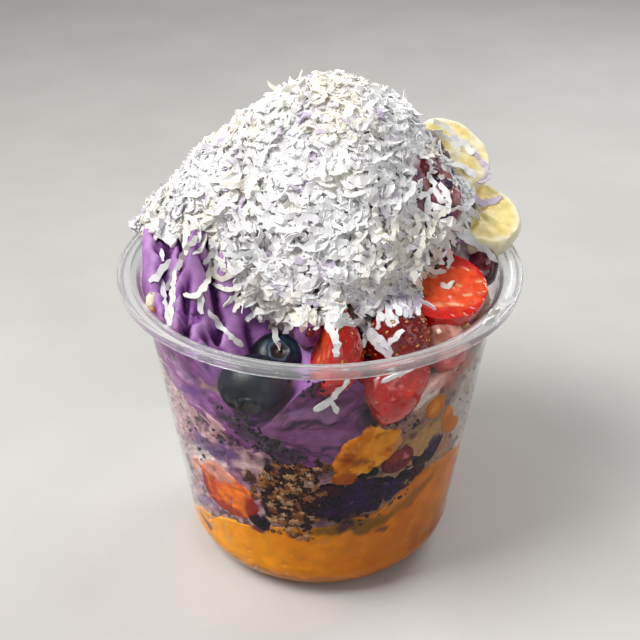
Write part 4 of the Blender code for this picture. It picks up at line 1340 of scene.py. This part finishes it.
def make_coconut(looks):
    """Shreds and flakes over the heap, thinner over what is beside it, and the strands that hang down in front."""
    rng = np.random.default_rng(31)
    others = [tree for name, tree in surfaces().items() if name != "coconut_core"]

    def add(name, count, scarce, sink, rise, down, tilt, short, long, width, steps, **shape):
        """A piece of many strips. Fewer lie in front below, by a share, and the strips there are longer."""
        places, normals = heap_samples(rng, count, others)
        places = places + normals * (rng.uniform(sink, rise, len(places)) + 1.3 * rough(places, 13, 2, 111))[:, None]
        kept = over_the_edge(places) + rng.normal(0, 1.2, len(places)) > 0
        right, above = seen_from_front(places).T
        loose = smooth(36, 12, above) * smooth(-30, -14, right) * (places[:, 1] < 0)
        kept &= rng.uniform(0, 1, len(places)) > np.maximum(0.75 * berry_share(places), scarce * loose)
        places, normals = places[kept], normals[kept]
        count = len(places)
        length = short + (long - short) * smooth(125, 100, places[:, 2]) * smooth(10, -15, places[:, 1])
        length = length * rng.gamma(8, 1 / 8, count)
        calm = 1 - 0.65 * smooth(24, 40, above[kept])
        along = random_along(rng, normals, down) + normals * (calm * np.abs(rng.normal(0, tilt, count)))[:, None]
        points, faces, owner = ribbons(rng, places, along, normals, length.clip(2, 16),
                                       rng.uniform(*width, count), rng.uniform(0.3, 0.5, count), steps, **shape)
        tint = coconut_tones(rng, places, owner)
        add_piece(name, points, faces, looks["coconut"], "coconut", (), tint, SHRED_EDGE)

    add("coconut_shreds", count=2300, scarce=0.6, sink=-0.6, rise=1.0, down=0.35, tilt=0.2, short=5.0, long=11.5,
        width=(1.3, 2.4), steps=9, bow=0.16)
    add("coconut_flakes", count=4300, scarce=0.86, sink=-1.0, rise=0.7, down=0.1, tilt=0.3, short=3.0, long=4.0,
        width=(1.6, 2.8), steps=4, bow=0.1, ragged=0.45)

    shown = surfaces().values()
    parts = []
    for x, up, heading, length in front_strands(rng):
        turn = np.radians(heading + np.cumsum(rng.normal(0, 11, 40)) + rng.normal(0, 8) * np.arange(40))
        steps = int(length / STRAND_STEP)
        path = np.cumsum(STRAND_STEP * np.stack([np.cos(turn), np.sin(turn)], -1)[:steps], axis=0) + (x, up)
        hang = min(up, edge_at(x)) - rng.uniform(0, 5) * (1 - 0.8 * math.exp(-((x + 12) / 9) ** 2))
        path = path[np.minimum.accumulate(path[:, 1] > hang)]
        parts.append(draped(rng, shown, path, rng.uniform(1.3, 2.2)))
    for path, width in STRANDS:
        parts.append(draped(rng, shown, smooth_path(path), width))
    shown = surfaces(cup=True).values()
    for path, width in RIM_STRANDS:
        parts.append(draped(rng, shown, smooth_path(path), width, thick=0.8))
    parts = [part for part in parts if part]
    owner = np.repeat(np.arange(len(parts)), [len(points) for points, _ in parts])
    points, faces = joined(parts)
    tint = coconut_tones(rng, np.array([part[0].mean(0) for part in parts]), owner)
    add_piece("coconut_strands", points, faces, looks["coconut"], "coconut", (), tint, SHRED_EDGE)


def front_strands(rng):
    """Loose strands seen from the front: place, heading and length. They start above the coconut's lower edge."""
    # From and to, right of and above the middle, how far above the edge they start, heading, its spread, and count
    groups = [
        (-36, 34, 2, 48, 2, -90, 50, 180), (-28, 26, -2, 20, 2, -95, 45, 160), (-57, -30, 20, 34, 2, -120, 35, 22),
        (26, 50, 12, 44, 2, -75, 45, 24), (-52, -28, 4, 26, -12, -110, 35, 11),
    ]
    for left, right, low, high, margin, mean, spread, count in groups:
        for _ in range(count):
            x, up = rng.uniform(left, right), rng.uniform(low, high)
            heading, length = rng.normal(mean, spread), rng.uniform(7, 19)
            if up > edge_at(x) + margin:
                yield x, up, heading, length


def smooth_path(corners):
    """A smooth line through corners in steps of a strand."""
    corners = np.array(corners, float)
    run = np.concatenate([[0], np.cumsum(np.hypot(*np.diff(corners, axis=0).T))])
    fine = np.linspace(0, run[-1], max(4, int(run[-1] / STRAND_STEP)))
    line = np.stack([np.interp(fine, run, corners[:, k]) for k in (0, 1)], -1)
    for _ in range(3):
        line[1:-1] = (line[:-2] + 2 * line[1:-1] + line[2:]) / 4
    return line


def draped(rng, trees, path, width, thick=0.4):
    """A strand laid on what is shown, along a path seen from the front. It bridges small hollows."""
    rays = unit(ray_to(path[:, :1], path[:, 1:]))
    far = []
    for ray in rays:
        place = hit(trees, EYE, ray)
        if place is None or (far and abs(np.linalg.norm(place - EYE) - far[-1]) > 9):
            break
        far.append(np.linalg.norm(place - EYE))
    if len(far) < 4:
        return None
    far = np.array(far)
    level = far.copy()
    for _ in range(4):
        level[1:-1] = (level[:-2] + level[1:-1] + level[2:]) / 3
        level = np.minimum(level, far)
    level = level - 0.45 * thick - 0.25
    level[0] += 0.6
    centre = EYE + rays[:len(far)] * level[:, None]
    along = unit(np.gradient(centre, axis=0))
    across = unit(np.cross(along, VIEW))
    part = np.linspace(-1, 1, len(far))
    twist = rng.uniform(-0.6, 0.6) + rng.normal(0, 0.6) * part
    across, through = turned_by(twist, across, np.cross(across, along))
    left, right = width / 2 * (1 - 0.45 * np.abs(part) ** 5) * (1 + 0.45 * rng.uniform(-1, 1, (2, len(far))))
    centre = centre + 0.12 * rng.normal(size=centre.shape)
    points = strip_points(centre, across, through, left, right, np.full(len(far), thick / 2))
    return points, strip_faces(len(far))[:, ::-1]


# ---------------------------------------------------------------- stage


def make_stage():
    """The pale floor, just under the cup, and the soft light all round."""
    look = Nodes("pale_floor", (0.60, 0.59, 0.57), Roughness=0.7)
    look.colour(look.mix(look.ramp(look.noise(60, 4), 0.3, 0.7), (0.58, 0.57, 0.55), (0.62, 0.61, 0.59)))
    half, drop = 4000, 0.05
    corners = [(-half, -half, -drop), (half, -half, -drop), (half, half, -drop), (-half, half, -drop)]
    mesh = new_mesh("floor", corners, [(0, 1, 2), (0, 2, 3)])
    mesh.materials.append(look.made)
    floor = new_object("floor", mesh)

    world = bpy.data.worlds.new("studio")
    world.use_nodes = True
    light = world.node_tree.nodes["Background"].inputs
    light["Color"].default_value = (1.0, 0.99, 0.975, 1)
    light["Strength"].default_value = 0.24
    bpy.context.scene.world = world


def add_light(name, place, aim, size, power, colour=(1, 1, 1)):
    """A soft square lamp at a place in mm, turned to what it lights."""
    lamp = bpy.data.lights.new(name, "AREA")
    lamp.shape = "SQUARE"
    lamp.size = size * MM
    lamp.energy = power
    lamp.color = colour
    made = new_object(name, lamp)
    made.location = Vector(place) * MM
    made.rotation_euler = (Vector(aim) - Vector(place)).to_track_quat("-Z", "Y").to_euler()


def make_camera():
    """The camera at the photograph's viewing angle."""
    data = bpy.data.cameras.new("camera")
    data.lens = LENS
    data.sensor_width = SENSOR
    data.clip_start = 0.01
    camera = new_object("camera", data)
    camera.location = Vector(EYE * MM)
    camera.rotation_euler = Vector(TARGET - EYE).to_track_quat("-Z", "Y").to_euler()
    bpy.context.scene.camera = camera


# ---------------------------------------------------------------- looks


# Each food's look: light, dark, size of coarse and of fine noise, bump, lowest and highest roughness, and the rest
FOODS = {
    "mango": (1.12, 0.88, 5, 1.2, 0.15, 0.3, 0.5, dict(
        Specular_IOR_Level=0.1, Subsurface_Weight=0.15, Subsurface_Scale=0.002, Subsurface_Radius=(1.0, 0.5, 0.15))),
    "milky_ice": (1.15, 0.8, 2.2, 0.5, 0.6, 0.3, 0.6, dict(Specular_IOR_Level=0.15)),
    "ube": (1.12, 0.86, 3.0, 0.7, 0.35, 0.4, 0.65, dict(Specular_IOR_Level=0.25)),
    "ube_jam": (1.3, 0.6, 2.0, 0.5, 0.6, 0.2, 0.4, dict(Specular_IOR_Level=0.15)),
    "granola": (1.3, 0.65, 1.2, 0.35, 0.7, 0.5, 0.85, dict(Specular_IOR_Level=0.15)),
    "papaya": (1.15, 0.8, 2.5, 0.6, 0.35, 0.25, 0.45, dict(Specular_IOR_Level=0.15)),
    "red_bean": (1.2, 0.7, 3, 0.8, 0.1, 0.2, 0.35, dict(Specular_IOR_Level=0.2)),
    "blueberry": (1.25, 0.75, 2.4, 0.35, 0.12, 0.25, 0.45, dict(Specular_IOR_Level=0.35)),
    "dark_speck": (1.25, 0.75, 1.2, 0.35, 0.3, 0.4, 0.6, dict(Specular_IOR_Level=0.15)),
    "strawberry": (1.15, 0.8, 3.0, 0.7, 0.12, 0.12, 0.3, dict(Coat_Weight=0.5, Coat_Roughness=0.08)),
    "strawberry_seed": (1.2, 0.8, 0.8, 0.3, 0.1, 0.3, 0.5, {}),
    "lychee": (1.15, 0.85, 3, 0.7, 0.15, 0.12, 0.3, dict(Coat_Weight=0.3, Coat_Roughness=0.1)),
    "plum": (1.25, 0.7, 2.2, 0.6, 0.3, 0.15, 0.35, dict(Coat_Weight=0.3, Coat_Roughness=0.1)),
    "banana": (1.08, 0.9, 2.5, 0.5, 0.2, 0.35, 0.55, {}),
    "coconut": (1.03, 0.93, 1.5, 0.35, 0.25, 0.5, 0.7, dict(Specular_IOR_Level=0.3)),
}


def make_looks():
    """Every material by its name, with the cup's as cup and rim."""
    looks = {name: painted(name, *numbers, **values) for name, (*numbers, values) in FOODS.items()}
    looks["cup"] = clear_plastic("clear_plastic", (0.97, 0.98, 0.985), Roughness=0.04, IOR=1.2,
                                 Transmission_Weight=1.0)
    looks["rim"] = clear_plastic("clear_plastic_rim", (0.9, 0.91, 0.92), Roughness=0.12, IOR=1.4,
                                 Transmission_Weight=0.9)
    return looks


def main():
    """Makes every piece in order: later ones are laid on what is already there."""
    bpy.context.scene.view_settings.view_transform = "Standard"
    looks = make_looks()
    make_cup(looks)
    make_mango(looks["mango"])
    make_ice(looks["milky_ice"])
    make_ice_cream(looks["ube"])
    make_chunks(looks)
    make_granola(looks["granola"])
    make_specks(looks["dark_speck"])
    make_wall_shreds(looks["coconut"])
    make_strawberries(looks)
    make_blueberries(looks["blueberry"])
    make_slices(looks)
    make_small_fruit(looks)
    make_heap_core(looks["coconut"])
    make_bits(looks["plum"])
    make_coconut(looks)
    make_stage()
    add_light("key", (-330, -120, 600), (0, 0, 70), 320, 4.4, (1, 0.99, 0.97))
    add_light("fill", (380, -420, 380), (0, 0, 70), 380, 0.6)
    add_light("back", (320, 380, 420), (0, 0, 80), 300, 1.4)
    make_camera()


main()
